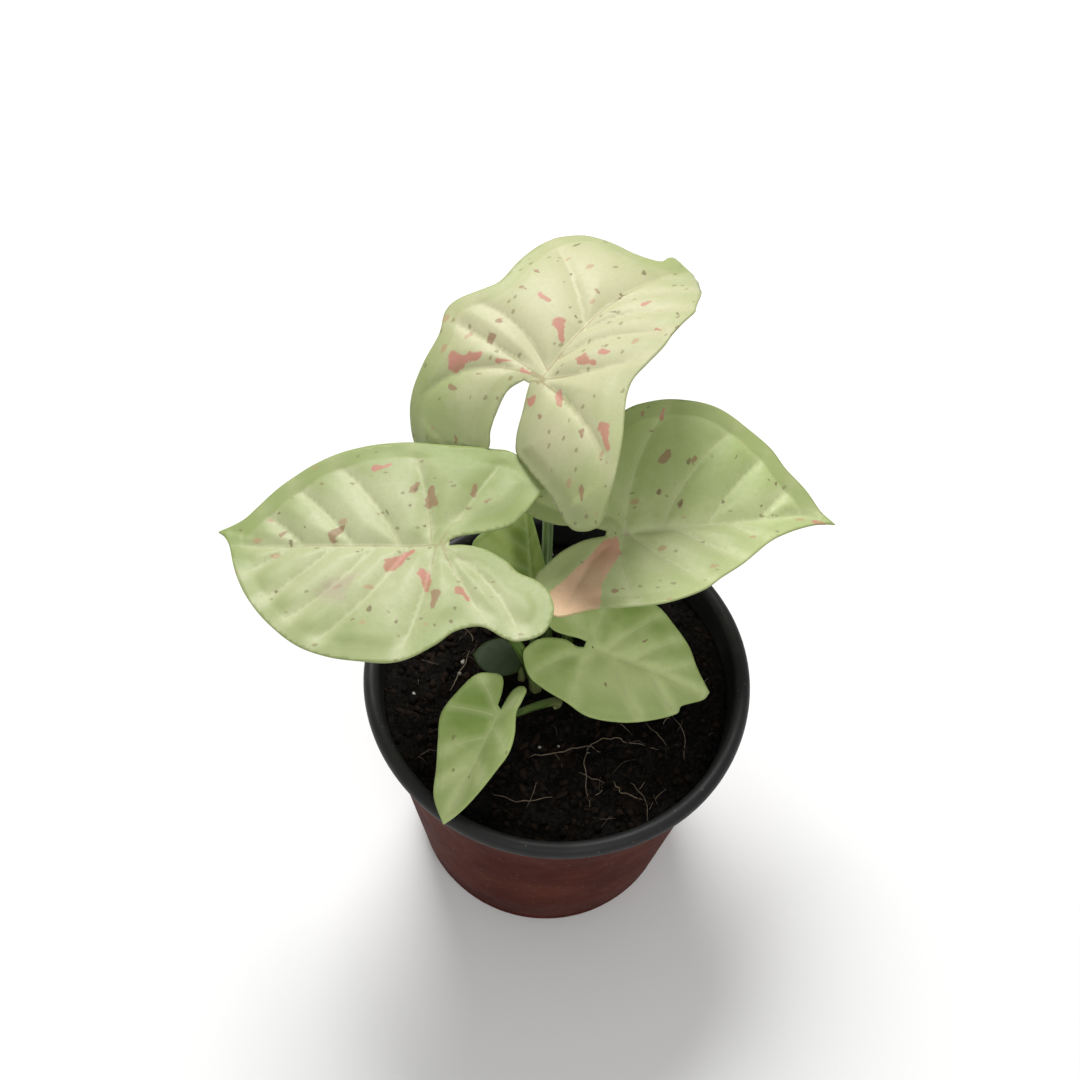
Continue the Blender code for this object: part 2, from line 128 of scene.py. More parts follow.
@dataclass
class Leaf:
    """A blade on its stalk.

    u runs from the joint with the stalk along the midrib to the tip, and v to the left of it.
    The outlines are those of the blade laid flat, from the tip round to the notch behind the joint.
    """
    joint: tuple          # place of the joint
    turn: tuple           # heading (0 along +X, 90 along +Y), rise of the midrib, lift of the left side
    arch: tuple           # bend per millimetre ahead of the joint, and behind it
    fold: float           # rise of each half from the midrib
    droop: tuple          # bend per millimetre across the left half, and across the right half
    lip: tuple            # how far the margin turns down (up where negative), and the width that does
    wave: tuple           # height of the margin's waves, and their number round the blade
    left: list            # outline of the left half
    right: list           # outline of the right half
    foot: tuple           # where the stalk enters the soil
    pull: tuple           # point that draws the stalk on its way up
    meet: tuple           # point that draws it as it nears the joint
    stalk: tuple          # stalk radius at the foot and at the joint
    veins: list           # side veins: where each leaves the midrib, its angle and its bend per millimetre
    dip: tuple            # depth of the dips along the veins at the joint and near the margin
    # The strip's green on the left and on the right is mostly painted shade: greener on the far side of a
    # blade, where its margin turns down away from the light, and pale on the near side.
    strip: tuple          # width of the strip outside the vein that follows the margin, the dip along
                          # that vein, and how green the strip is on the left and on the right
    look: str             # name of its colours
    curl: tuple = (60, 0, 0)      # where a tighter bend starts along the midrib, that bend per
                                  # millimetre, and how much sooner it starts to the midrib's right
    sway: float = 0       # sideways bow of the midrib, in millimetres per square millimetre
    greener: tuple = ()   # greener areas: u, v, radius and amount; paler ones have a negative amount
    pink: tuple = ()      # pink marks: u and v of two ends, and the half width
    tan: tuple = ()       # tan marks, in the same way
    dark: tuple = ()      # dark flecks
    mauve: tuple = ()     # faint mauve patches
    sector: tuple = ()    # outline of a salmon part, in u and v


LEAVES = {
    "leaf_top": Leaf(
        joint=(-10.8, 37.9, 156), turn=(62, 24, -8), arch=(1, 1.8), fold=13, droop=(0.5, 0.2), lip=(4, 6),
        wave=(0.6, 5),
        left=[(53.9, 0), (54.4, 3), (53.4, 5.2), (50.4, 5.5), (47.3, 4.7), (45.6, 7), (44.6, 11.5),
              (44, 17.6), (41.6, 22.2), (37, 24.8), (33.2, 25.4), (24.4, 24.8), (16.5, 23.6), (12.4, 25.2),
              (7, 29.2), (3.2, 30.1), (-2.2, 28.2), (-9.2, 28.7), (-15.8, 29), (-22, 28), (-28.8, 25),
              (-33, 19), (-31, 10.5), (-21.1, 5.1), (-16, 5.7), (-11, 5.9), (-6, 5.7), (-2.2, 3.6)],
        right=[(53.9, 0), (51.8, -3.2), (48.2, -6), (44.6, -9.2), (41, -12.6), (37, -15.6), (33.5, -17.9),
               (30.9, -19.6), (27.1, -20.2), (22.5, -21), (18.4, -21.8), (13.4, -21.6), (8.7, -21.2),
               (5, -22.3), (0.8, -24.6), (-4.2, -27.6), (-10.9, -30.2), (-16.3, -31), (-21.5, -30.8),
               (-24.8, -27), (-25.7, -22.5), (-22, -15), (-20.1, -6.9), (-18.8, -2.2), (-15.3, -0.4),
               (-9.7, 0.5), (-4.5, 1.5), (-2.2, 1.9)],
        foot=(-2.4, 6.6), pull=(-7, 15, 92), meet=(-6, 60, 112), stalk=(1.7, 1.15),
        veins=[(-0.5, 120, 1), (0, 92, 1.9), (0.5, 84, 0.2), (2.5, 55, 1.6), (17, 47, 0.6),
               (-0.5, -96, -0.9), (0, -60, 0.5), (5.5, -24, -1.9), (15, -26, -1.6), (27, -28, -1.2)],
        dip=(2.2, 1.2), strip=(3.4, 0.14, 0.5, 0.1), look="pale", curl=(50.8, 14, 0.9), sway=0.003,
        greener=[(-24, 22, 15, 0.75), (-8, 27, 9, 0.45), (-20, -27, 12, 0.65), (50, 2, 8, 0.6),
                 (16, 10, 18, -0.35), (18, -12, 14, -0.3)],
        pink=[(-6, 20.9, -1.6, 15.9, 2.4), (14.1, 5, 10.6, 1.4, 1.6), (17.3, 13.1, 17.2, 10.2, 1.1),
              (8, -6.8, 8.6, -9.9, 2.1), (11.5, -9.7, 12.3, -11.7, 1.1), (-3.6, -21.9, -7.2, -25.7, 1.6),
              (-5.6, -0.6, -4.3, -0.7, 1.6), (-1.4, -6.2, -3.7, -8.8, 1.6), (-1.1, 11.6, 0.5, 9, 0.7),
              (-0.4, 5.1, 0.1, 2.8, 0.9), (28.4, -7.3, 30.3, -8.2, 0.9), (22.4, -16.3, 22.5, -18.2, 0.5),
              (23, -2.1, 24, -3.4, 0.4)],
        tan=[(-16.4, -23.5, -18.4, -25.1, 1.1), (-6.3, -17.2, -7.5, -18.3, 1.1),
             (-20.3, 13.9, -21.9, 12.9, 0.8), (2.8, 16.2, 3.6, 15.1, 1.6), (7.1, 17.1, 7.2, 16, 1.1),
             (16.8, 17.7, 17, 16.7, 1.1), (22.4, 18.8, 22.3, 17.3, 0.8), (26.1, 4.4, 25.9, 3.3, 0.8),
             (29.3, 0.2, 29.2, -0.5, 0.8), (-11.1, 19.2, -10.7, 17.7, 1.1), (-7.7, -5.4, -8.3, -5.7, 1.1),
             (-5.8, 14.6, -5.2, 13.3, 0.5), (-9.4, -24.7, -9.5, -27.5, 0.5)],
        dark=[(35.2, 19.6, 37, 19.3, 0.5), (22.4, -22, 24.1, -20.8, 1), (24.8, -20.5, 25.6, -21.4, 0.6),
              (27.2, 12.9, 27.5, 12.6, 0.4), (27.9, 10.2, 27.8, 9.8, 0.35), (39.7, 2.7, 40.8, 3.5, 0.55),
              (29.1, 0, 30.5, 1, 0.45), (30.5, 0.1, 32, -0.6, 0.25), (18.8, 5.7, 19.2, 5.7, 0.35),
              (17.6, 3, 18.1, 3.4, 0.35), (22.7, 2.6, 23, 2.6, 0.3), (34.3, -7.2, 34, -8.9, 0.25),
              (23, -2.1, 23.7, -3.6, 0.25), (28.8, -16.6, 28.4, -17.6, 0.3),
              (35.1, -15.8, 34.4, -16.4, 0.3), (-19.1, -32.3, -18.4, -32, 0.3),
              (-21, -29.8, -20.4, -29.6, 0.3), (-14.6, -26.2, -14.2, -26, 0.3),
              (-13.8, -27.9, -13.4, -28, 0.3), (-13.7, -29.3, -13.3, -29.2, 0.3)]),
    "leaf_left": Leaf(
        joint=(-30.3, 1, 138), turn=(181, -7, -4), arch=(0.15, 0.4), fold=9, droop=(0.45, 0.3), lip=(-5, 6),
        wave=(0.5, 6),
        left=[(53.5, -3.8), (50.6, -0.9), (46.6, 8.3), (42.3, 15.2), (36.7, 21.2), (29.5, 26.5),
              (21.7, 29.3), (14.2, 30.4), (7.8, 30.8), (2.8, 29.4), (-2.5, 25.9), (-6.5, 22.2), (-12, 20.8),
              (-17.2, 23.3), (-20.8, 23.9), (-25.8, 21.4), (-27.6, 15.4), (-25.9, 10.7), (-23.3, 8.1),
              (-19, 6.3), (-16, 3.6), (-10.9, 0.9), (-6.1, 0.1), (-2.6, 0.2)],
        right=[(53.5, -3.8), (48, -6.7), (44.4, -10.1), (39.7, -14.7), (33.3, -19.3), (26.3, -22.9),
               (18.7, -25.2), (10.6, -26.3), (2.1, -26.1), (-9.8, -25.4), (-15, -24.6), (-21, -20.5),
               (-23.6, -17), (-22, -13.5), (-19.4, -9.2), (-16, -5.8), (-10.5, -3.8), (-5, -2.4),
               (-2.6, -1.2)],
        foot=(-5.2, -1), pull=(-6.8, 1.6, 90), meet=(-20, 3, 112), stalk=(1.6, 1.1),
        veins=[(-0.5, 150, -1.2), (-0.5, 118, 0.4), (0.5, 86, -0.4), (6.5, 66, -0.8), (14.5, 57, -0.7),
               (24, 50, -0.5), (35, 42, -0.5), (-0.5, -152, 1.2), (0, -120, 0), (1.5, -82, 0.6),
               (9, -61, 0.8), (20, -50, 0.6), (32, -42, 0.5)],
        dip=(2, 1.7), strip=(3.8, 0.36, 0.05, 0.95), look="soft",
        greener=[(52, -3, 7, 0.9), (-8, -18, 15, 0.5), (14, 20, 12, 0.3), (29, 15, 12, 0.35),
                 (20, 4, 13, -0.35), (18, -14, 14, -0.15)],
        pink=[(10.6, 5.7, 5.4, 1.6, 2.1), (1.9, 8.5, 1.3, 12, 2.2), (-6.2, 11.9, -8.6, 14.1, 1.3),
              (16.7, -18.9, 12.8, -20.2, 1.1)],
        tan=[(25.3, -2, 22.9, -5, 1.6), (-1.1, 13.4, -0.6, 17.1, 1.4), (2.6, -11.2, 2.7, -14.5, 2.3),
             (37.7, -2.5, 36.5, -4.5, 0.8), (-7, -13.5, -7.3, -15.6, 1.1), (-10, -10.9, -11.7, -12.2, 0.8),
             (7.1, -13.7, 6.1, -15.8, 1.2)],
        dark=[(13.9, -17.8, 13.7, -17.6, 0.35), (38.9, -8.4, 38.6, -8.1, 0.5),
              (31.8, -4.1, 31.5, -3.9, 0.35), (35.4, -1.2, 34.9, 0.4, 0.5), (36.5, 12.6, 36.2, 12.9, 0.4),
              (2.1, 5.5, 2, 6, 0.35), (7.4, -9.6, 6.9, -9.6, 0.4), (13.6, 17.9, 13.3, 16.4, 0.6),
              (7.1, 20.8, 7, 19.8, 0.5), (3, 22.6, 2.6, 22.1, 0.35), (6.6, -13.9, 6.1, -15.2, 0.5),
              (14.8, -8, 14.6, -8.5, 0.35), (13.5, -9, 12.4, -7.7, 0.3), (-5.8, 16.8, -6.2, 16.3, 0.55),
              (-5.2, 20.1, -5.8, 19.8, 0.5), (-1.5, 21.3, -1.8, 21.8, 0.35), (3.7, -4.8, 3.3, -5.3, 0.45),
              (18.9, 2.3, 17.6, 1.5, 0.3), (3, 9.3, 2.9, 9.9, 0.4)],
        mauve=[(22.7, 12.8, 18.8, 9, 3.4)]),
    "leaf_right": Leaf(
        joint=(11, 21.1, 120), turn=(14, 1.5, 2), arch=(0.1, 0.1), fold=13, droop=(-0.1, -0.2), lip=(-5, 6),
        wave=(0.5, 5),
        left=[(54.3, -4.1), (51.3, 1.1), (48.8, 6.3), (44.8, 12.2), (41.9, 18), (36.8, 24.1), (31.2, 29.3),
              (25.6, 31.7), (18.7, 32.9), (12.3, 32.7), (6.8, 31.4), (-1, 27), (-9, 22.5), (-16, 18.5),
              (-23, 15), (-21.6, 8.4), (-15.3, 4.2), (-9.8, 3), (-5, 2), (-2.4, 1)],
        right=[(54.3, -4.1), (49.6, -3.3), (42.4, -5), (36.2, -8.1), (28.3, -14.5), (22.1, -18.5),
               (16.6, -22.2), (7.4, -24.8), (-2.5, -24.5), (-9.7, -23.8), (-18.7, -24.8), (-20.5, -18.4),
               (-21.9, -11.7), (-19, -8.2), (-14.1, -3.8), (-8.5, -1), (-3, -0.4)],
        foot=(2.6, 6.2), pull=(-0.5, 22, 85), meet=(3, 26, 104), stalk=(1.6, 1.1),
        veins=[(-0.5, 148, -0.6), (0, 112, -0.6), (2, 80, -0.9), (11, 62, -0.9), (23, 52, -0.7),
               (36, 43, -0.5), (-0.5, -134, 0.6), (0, -96, 0.5), (3.5, -60, 0.8), (15, -48, 0.7),
               (28, -40, 0.5)],
        dip=(2, 1.7), strip=(3.8, 0.36, 0.95, 0), look="fresh",
        greener=[(2, 22, 16, 0.75), (20, 14, 14, 0.5), (34, 14, 12, 0.45), (24, -8, 14, -0.3),
                 (52, -3, 4, 0.5)],
        pink=[(49.4, -2.3, 52.1, -3.7, 1.1), (15.7, 29, 16.5, 30.8, 1)],
        tan=[(14.1, 17, 16.1, 19.7, 1.8), (21.7, 16.5, 22.7, 18, 1), (11.9, 9, 12.5, 9.8, 1),
             (16.6, 5.1, 17.3, 6.6, 0.7), (11, 30, 11.4, 30.5, 1), (-4.2, -19.1, -3.2, -19, 1.1)],
        dark=[(20.4, 16.3, 21, 17.3, 0.55), (26.6, 17.3, 26.8, 17, 0.4), (32.3, 16, 33.5, 17, 0.35),
              (11.6, 8.8, 12.5, 9.8, 0.6), (16.7, 5.9, 17.4, 7.1, 0.6), (27.8, 5.6, 28.1, 5.6, 0.5),
              (41.7, 8.9, 42, 7.8, 0.4), (39.5, 9.9, 40.5, 9.2, 0.3), (36.9, 3.2, 37.2, 3.4, 0.4),
              (7.4, -17.7, 7.6, -17.7, 0.45), (1, 5.1, 1.4, 4.2, 0.2), (2.3, 6.5, 2.5, 6.2, 0.3),
              (37.4, -6.6, 37.9, -6.7, 0.35)],
        mauve=[(2.7, -0.4, 3.1, -0.9, 1.3)],
        sector=[(0.1, -0.7), (-3.5, -1.8), (-10, -8.2), (-19.3, -17), (-20.5, -26), (-13.5, -26),
                (-8.6, -25.5), (-6.7, -17.3), (-4.3, -13), (-0.1, -6.2)]),
    "leaf_front": Leaf(
        joint=(8.1, 4.2, 92), turn=(-11, -8, 4), arch=(0.4, 0.27), fold=8, droop=(0.3, 0.3), lip=(4, 4),
        wave=(0.3, 4),
        left=[(32.8, 0.7), (27.8, 5), (23.6, 9.8), (18.4, 13.6), (12.6, 17), (5, 17.4), (-3, 14.7),
              (-9.5, 10.7), (-13.2, 6.7), (-13.2, 2.8), (-10.6, 1), (-7, 0.9), (-4, 1.2), (-1.8, 1)],
        right=[(32.8, 0.7), (31.7, -1.9), (26.6, -6.1), (25.6, -9), (19.5, -13.7), (12.6, -17.3),
               (4.3, -19), (-2.2, -17.2), (-8.1, -15.7), (-12.7, -13.6), (-15.8, -8.7), (-15.6, -5.9),
               (-12.7, -2.3), (-7.2, -0.5), (-4, -1.2), (-2, -0.8)],
        foot=(5.2, -3.4), pull=(5.5, -3, 84), meet=(8.2, 3, 86), stalk=(1.3, 0.9),
        veins=[(-0.4, 140, -0.8), (0, 95, -1), (4, 64, -1), (11, 54, -1), (19, 45, -1), (-0.4, -140, 0.8),
               (0, -98, 1), (6, -62, 1), (16, -50, 1)],
        dip=(1.3, 1), strip=(2.2, 0.15, 0.3, 0.2), look="green",
        greener=[(8, 11, 11, 0.75), (20, 6, 8, 0.5), (-8, -8, 8, 0.3), (12, -4, 14, -0.8)],
        tan=[(12, 6, 13, 7.5, 0.5), (6, -9, 7, -10, 0.5)]),
    "leaf_narrow": Leaf(
        joint=(-13.8, -17.5, 91), turn=(-109, -2.5, 21), arch=(0.16, 0.3), fold=17, droop=(0.36, 0.4),
        lip=(12, 3), wave=(0.25, 4),
        left=[(30.4, -0.5), (26, 3.3), (21.4, 5.7), (14.3, 7.9), (9.4, 9), (4.1, 8), (-1.8, 5.3),
              (-4.8, 5.2), (-8.7, 4.6), (-9.8, 2), (-8.3, 0.2), (-4.1, 0), (-2, 0.2)],
        right=[(30.4, -0.5), (24.9, -5.7), (17.9, -8.3), (11, -11.1), (4.6, -13.4), (-2, -12.5),
               (-8.6, -10.5), (-10.7, -7.1), (-10.8, -4), (-7.5, -2.1), (-3, -1.2)],
        foot=(0.8, -4.8), pull=(-2.5, -6.5, 81.5), meet=(-12, -16, 85.5), stalk=(1.2, 0.75),
        veins=[(-0.3, 145, -1), (3, 58, -1.2), (12, 45, -1.2), (-0.3, -138, 1), (0, -88, 1.2),
               (6, -56, 1.2), (15, -46, 1.2)],
        dip=(0.7, 0.5), strip=(1.8, 0.12, 0.3, 0.4), look="green",
        greener=[(2, -6, 8, 0.9), (12, 2, 6, 0.3), (24, -1, 8, -0.5)]),
    "leaf_young": Leaf(
        joint=(-8.9, 17.4, 98.6), turn=(104, 32, -28), arch=(0.3, 0.3), fold=43, droop=(0.2, 0.3),
        lip=(0, 1), wave=(0.2, 3),
        left=[(20.5, 0), (17, 5.5), (14, 11), (11, 14.8), (6, 15), (1, 12.5), (-3.5, 9.5), (-5.5, 5.5),
              (-4, 2), (-2, 0.8)],
        right=[(20.5, 0), (17.8, -1.9), (10.8, -5), (4, -7.5), (-1.5, -7.5), (-5, -5), (-4.5, -2.2),
               (-2, -0.4)],
        foot=(-6.4, 4.2), pull=(-6.8, 6, 87), meet=(-7.5, 17, 90), stalk=(1.3, 0.8),
        veins=[(0, 100, -1.5), (3, 68, -1.5), (8, 58, -1.5), (13, 48, -1.5), (0, -100, 1.5), (4, -62, 1.5),
               (10, -50, 1.5)],
        dip=(0.5, 0.35), strip=(1.5, 0.1, 0.5, 0.5), look="young",
        greener=[(12, 2.5, 4.5, 1), (4, 2, 5, 0.9), (9, 10, 7, -0.6)]),
    "leaf_tiny": Leaf(
        joint=(-10.8, 3.6, 83), turn=(180, 2, 8), arch=(0.5, 0.5), fold=-6, droop=(-1.5, -1.5), lip=(0, 1),
        wave=(0, 2),
        left=[(11.5, 0), (9, 4), (4.5, 6), (0, 4.4), (-1.5, 2)],
        right=[(11.5, 0), (9, -4), (4.5, -6), (0, -4.4), (-1.5, -2)],
        foot=(-9.2, 1.6), pull=(-9.5, 2, 80), meet=(-10.5, 3.2, 81), stalk=(0.9, 0.6),
        veins=[(1, 60, -2), (4, 50, -2), (1, -60, 2), (4, -50, 2)],
        dip=(0.3, 0.2), strip=(1, 0.1, 0.5, 0.5), look="dark"),
}


@dataclass
class Look:
    """Colours of a blade, and how strongly its parts show."""
    body: tuple
    patch: tuple
    margin: tuple
    vein: tuple
    under: tuple
    line: float           # the pale line of a vein
    glow: float           # the paler strips beside it
    # The darker panels between veins are painted shade, laid near the margin to give the quilting depth.
    panel: float          # the darker panels between veins
    heart: float          # the thin brown lines near the joint
    flecks: float         # how many flecks show: at 1 about half of their cells
    gloss: float


LOOKS = {
    "pale": Look((0.485, 0.475, 0.295), (0.32, 0.375, 0.16), (0.30, 0.345, 0.135), (0.62, 0.57, 0.38),
                 (0.40, 0.45, 0.24), 0.14, 0.03, 0.30, 0.55, 1.25, 0.25),
    "soft": Look((0.44, 0.46, 0.27), (0.255, 0.31, 0.12), (0.25, 0.31, 0.105), (0.58, 0.58, 0.37),
                 (0.33, 0.40, 0.19), 0.14, 0.06, 0.60, 0.40, 0.8, 0.25),
    "fresh": Look((0.49, 0.53, 0.285), (0.33, 0.40, 0.155), (0.24, 0.29, 0.10), (0.60, 0.62, 0.38),
                  (0.33, 0.40, 0.19), 0.20, 0.16, 0.50, 0.0, 0.8, 0.25),
    "green": Look((0.58, 0.66, 0.30), (0.25, 0.36, 0.085), (0.36, 0.47, 0.15), (0.62, 0.68, 0.35),
                  (0.26, 0.34, 0.14), 0.32, 0.32, 0.45, 0.0, 0.10, 0.25),
    "young": Look((0.38, 0.46, 0.14), (0.14, 0.20, 0.035), (0.16, 0.26, 0.06), (0.34, 0.43, 0.18),
                  (0.20, 0.30, 0.10), 0.25, 0.30, 0.36, 0.0, 0.06, 0.25),
    "dark": Look((0.036, 0.054, 0.024), (0.020, 0.033, 0.013), (0.03, 0.05, 0.015), (0.045, 0.07, 0.02),
                 (0.04, 0.06, 0.03), 0.05, 0.1, 0.2, 0.0, 0.0, 0.14),
}


# Materials

class Shade:
    """A material's node graph, built by small steps that return sockets.

    Its colour starts plain, and coats are laid over it.
    """

    def __init__(self, name, colour, roughness, specular):
        self.material = bpy.data.materials.new(name)
        self.material.use_nodes = True
        self.tree = self.material.node_tree
        self.shader = self.tree.nodes["Principled BSDF"]
        self.put(self.shader, "Roughness", roughness)
        self.put(self.shader, "Specular IOR Level", specular)
        self.colour = colour

    def put(self, node, index, value):
        """Links a socket to an input, or sets it to a number, vector or colour."""
        if isinstance(value, bpy.types.NodeSocket):
            self.tree.links.new(value, node.inputs[index])
        elif value is not None:
            socket = node.inputs[index]
            if socket.type == "RGBA" and len(value) == 3:
                value = (*value, 1.0)
            socket.default_value = value

    def node(self, kind, *values):
        """A new node with its first inputs linked or set."""
        node = self.tree.nodes.new("ShaderNode" + kind)
        for index, value in enumerate(values):
            self.put(node, index, value)
        return node

    def attribute(self, name):
        node = self.node("Attribute")
        node.attribute_name = name
        return node.outputs["Vector"]

    def place(self):
        return self.node("TexCoord").outputs["Object"]

    def split(self, vector):
        return self.node("SeparateXYZ", vector).outputs

    def math(self, operation, a, b=None):
        node = self.node("Math", a, b)
        node.operation = operation
        return node.outputs[0]

    def times(self, a, b):
        return self.math("MULTIPLY", a, b)

    def plus(self, a, b):
        return self.math("ADD", a, b)

    def scaled(self, vector, factors):
        node = self.node("VectorMath", vector, factors)
        node.operation = "MULTIPLY"
        return node.outputs[0]

    def length(self, vector):
        """Distance from the origin in the first two of three numbers."""
        node = self.node("VectorMath", self.scaled(vector, (1.0, 1.0, 0.0)))
        node.operation = "LENGTH"
        return node.outputs["Value"]

    def added(self, a, b):
        return self.node("VectorMath", a, b).outputs[0]

    def noise(self, vector, scale, detail=2.0, colour=False):
        node = self.node("TexNoise", vector)
        self.put(node, "Scale", scale)
        self.put(node, "Detail", detail)
        return node.outputs["Color" if colour else "Fac"]

    def swing(self, vector, scale, detail):
        """Noise on both sides of zero."""
        return self.math("SUBTRACT", self.noise(vector, scale, detail), 0.5)

    def cells(self, vector, scale, feature="F1"):
        node = self.node("TexVoronoi", vector)
        node.feature = feature
        self.put(node, "Scale", scale)
        return node.outputs

    def step(self, value, low, high):
        """0 below low, 1 above high and smooth between; low may be the larger."""
        ends = (high, low, 1.0, 0.0) if low > high else (low, high, 0.0, 1.0)
        node = self.node("MapRange", value, *ends)
        node.interpolation_type = "SMOOTHSTEP"
        return node.outputs[0]

    def mix(self, factor, a, b):
        node = self.node("Mix", factor)
        node.data_type = "RGBA"
        self.put(node, 6, a)
        self.put(node, 7, b)
        return node.outputs[2]

    def coat(self, colour, amount, strength=None):
        """Lays a colour over the one so far, by an amount and the strength that it has at most."""
        if strength is not None:
            amount = self.times(amount, strength)
        self.colour = self.mix(amount, self.colour, colour)

    def bump(self, height, strength, distance):
        node = self.node("Bump", strength, distance * MM)
        self.put(node, "Height", height)
        return node.outputs[0]

    def finish(self, normal=None, roughness=None):
        self.put(self.shader, "Base Color", self.colour)
        self.put(self.shader, "Roughness", roughness)
        self.put(self.shader, "Normal", normal)
        return self.material


def blade_material(name, look, shift):
    """Top of a blade. It reads the blade's own u, v and distances, so its marks lie on the leaf."""
    s = Shade(name, look.body, 0.42, look.gloss)
    blade = s.attribute("blade")
    along, across, edge = s.split(blade)
    vein, pink, tan = s.split(s.attribute("marks"))
    green, ring, strip = s.split(s.attribute("tone"))
    dark, mauve, sector = s.split(s.attribute("spots"))
    flat = s.added(s.scaled(blade, (1.0, 1.0, 0.0)), (shift, 0.0, shift))
    patchy = s.swing(flat, 0.21, 4.0)
    fine = s.noise(flat, 1.1, 3.0)
    mottled = s.plus(green, s.plus(s.times(s.swing(flat, 0.06, 3.0), 1.1), s.times(patchy, 0.9)))
    s.coat(look.patch, s.step(mottled, -0.25, 0.9))
    # Darker outer parts of the panels between veins, near the margin: painted shade for the quilting's depth.
    s.coat(look.patch, s.times(s.step(vein, 0.6, 3.4), s.step(ring, 9.0, 0.6)), look.panel)
    s.coat(look.vein, s.step(vein, 2.0, 0.2), look.glow)
    s.coat(look.vein, s.step(vein, 0.34, 0.08), look.line)
    # The strip outside the vein that follows the margin takes the margin colour by the strip's green: mostly
    # painted shade, greener on the blade's far side.
    outer = s.step(s.plus(ring, s.times(patchy, 1.6)), 0.5, -0.4)
    s.coat(look.margin, outer, s.times(strip, 0.65))
    if look.flecks:
        near = s.times(s.step(s.length(blade), 17.0, 2.0), s.step(vein, 0.28, 0.06))
        midrib = s.times(s.step(s.math("ABSOLUTE", across), 0.26, 0.06), s.step(along, 50.0, 22.0))
        brown = s.math("MAXIMUM", near, s.times(midrib, s.step(along, -1.0, 0.0)))
        s.coat((0.26, 0.18, 0.08), brown, look.heart)
        warped = s.added(flat, s.scaled(s.noise(flat, 0.9, 2.0, True), (1.1, 1.1, 0.0)))
        for stretch, scale, part, share, (far, close), colour in (
                ((0.62, 0.95, 1.0), 0.42, 0, 0.50, (0.19, 0.12), (0.20, 0.16, 0.08)),
                ((0.55, 1.0, 1.0), 0.22, 1, 0.45, (0.17, 0.11), (0.42, 0.24, 0.15))):
            found = s.cells(s.scaled(warped, stretch), scale)
            chance = s.split(found["Color"])[part]
            chosen = s.step(chance, 1 - look.flecks * (share + 0.05), 1 - look.flecks * share)
            s.coat(colour, s.times(s.step(found["Distance"], far, close), chosen), 0.6)
        ragged = s.times(s.swing(flat, 0.42, 5.0), 1.5)
        torn = s.times(ragged, 1.1)
        warm = s.mix(s.step(s.length(blade), 17.0, 5.0), (0.70, 0.42, 0.29), (0.57, 0.25, 0.20))
        rosy = s.mix(s.step(patchy, -0.2, 0.2), (0.50, 0.18, 0.165), (0.42, 0.19, 0.13))
        for field, side, low, high, strength, colour in (
                (tan, ragged, 0.36, 0.60, 0.78, (0.27, 0.145, 0.09)),
                (mauve, ragged, -0.2, 0.9, 0.5, (0.40, 0.31, 0.26)),
                (sector, ragged, 0.30, 0.70, 0.8, warm),
                (dark, torn, 0.0, 0.4, 0.75, (0.15, 0.11, 0.055)),
                (pink, ragged, 0.36, 0.56, 0.85, rosy)):
            s.coat(colour, s.step(s.plus(field, side), low, high), strength)
    s.coat(look.margin, s.step(edge, 0.45, 0.12), 0.45)
    s.coat(look.margin, s.step(fine, 0.3, 0.8), 0.14)
    net = s.cells(flat, 0.75, "DISTANCE_TO_EDGE")["Distance"]
    relief = s.plus(s.times(s.step(net, 0.0, 0.12), 0.3), fine)
    s.put(s.shader, "Subsurface Weight", 0.10)
    s.put(s.shader, "Subsurface Radius", (1.0, 1.0, 0.5))
    s.put(s.shader, "Subsurface Scale", 0.8 * MM)
    return s.finish(s.bump(relief, 0.25, 0.09), s.plus(0.38, s.times(fine, 0.18)))


def under_material(name, look, shift):
    """Underside of a blade: duller and evenly coloured, with pale veins."""
    s = Shade(name, look.under, 0.6, 0.3)
    vein, pink, _ = s.split(s.attribute("marks"))
    flat = s.added(s.attribute("blade"), (shift, 0.0, shift))
    s.coat(look.patch, s.step(s.noise(flat, 0.12, 3.0), 0.35, 0.7), 0.5)
    s.coat(look.vein, s.step(vein, 0.6, 0.2), 0.6)
    s.coat((0.50, 0.24, 0.18), s.step(pink, 0.3, 0.6), 0.3)
    return s.finish(s.bump(s.noise(flat, 1.2, 3.0), 0.25, 0.10))


def stalk_material():
    """Smooth green stalk with fine lengthwise streaks, paler at its foot."""
    s = Shade("stalk_skin", (0.055, 0.105, 0.018), 0.38, 0.5)
    along, round_it, tint = s.split(s.attribute("stalk"))
    line = s.node("CombineXYZ", s.times(along, 0.08), s.times(round_it, 9.0), tint)
    streak = s.noise(line.outputs[0], 1.0, 3.0)
    s.coat((0.14, 0.22, 0.05), s.step(streak, 0.35, 0.68))
    s.coat((0.24, 0.30, 0.10), s.step(s.noise(s.place(), 160.0, 3.0), 0.5, 0.8), 0.3)
    s.coat((0.34, 0.30, 0.15), s.step(along, 14.0, 1.0), 0.55)
    return s.finish(s.bump(streak, 0.3, 0.12))


def plastic_material(name, base, other, dust, roughness, gloss):
    """Thin moulded plastic with faint rings, scuffs and dried dirt."""
    s = Shade(name, base, roughness, gloss)
    place = s.place()
    rings = s.noise(s.scaled(place, (6.0, 6.0, 700.0)), 1.0)
    grain = s.noise(place, 1400.0, 3.0)
    cloud = s.noise(place, 45.0, 5.0)
    smear = s.noise(place, 220.0, 4.0)
    s.coat(other, s.step(cloud, 0.35, 0.7))
    s.coat(dust, s.times(s.step(smear, 0.55, 0.72), s.step(cloud, 0.4, 0.6)), 0.35)
    specks = s.cells(place, 620.0)
    lone = s.times(s.step(specks["Distance"], 0.22, 0.12), s.step(s.split(specks["Color"])[0], 0.82, 0.84))
    s.coat(tuple(c * 1.8 for c in dust), lone, 0.6)
    height = s.plus(s.times(grain, 0.35), s.times(rings, 0.6))
    return s.finish(s.bump(height, 0.35, 0.12), s.plus(roughness - 0.08, s.times(smear, 0.3)))


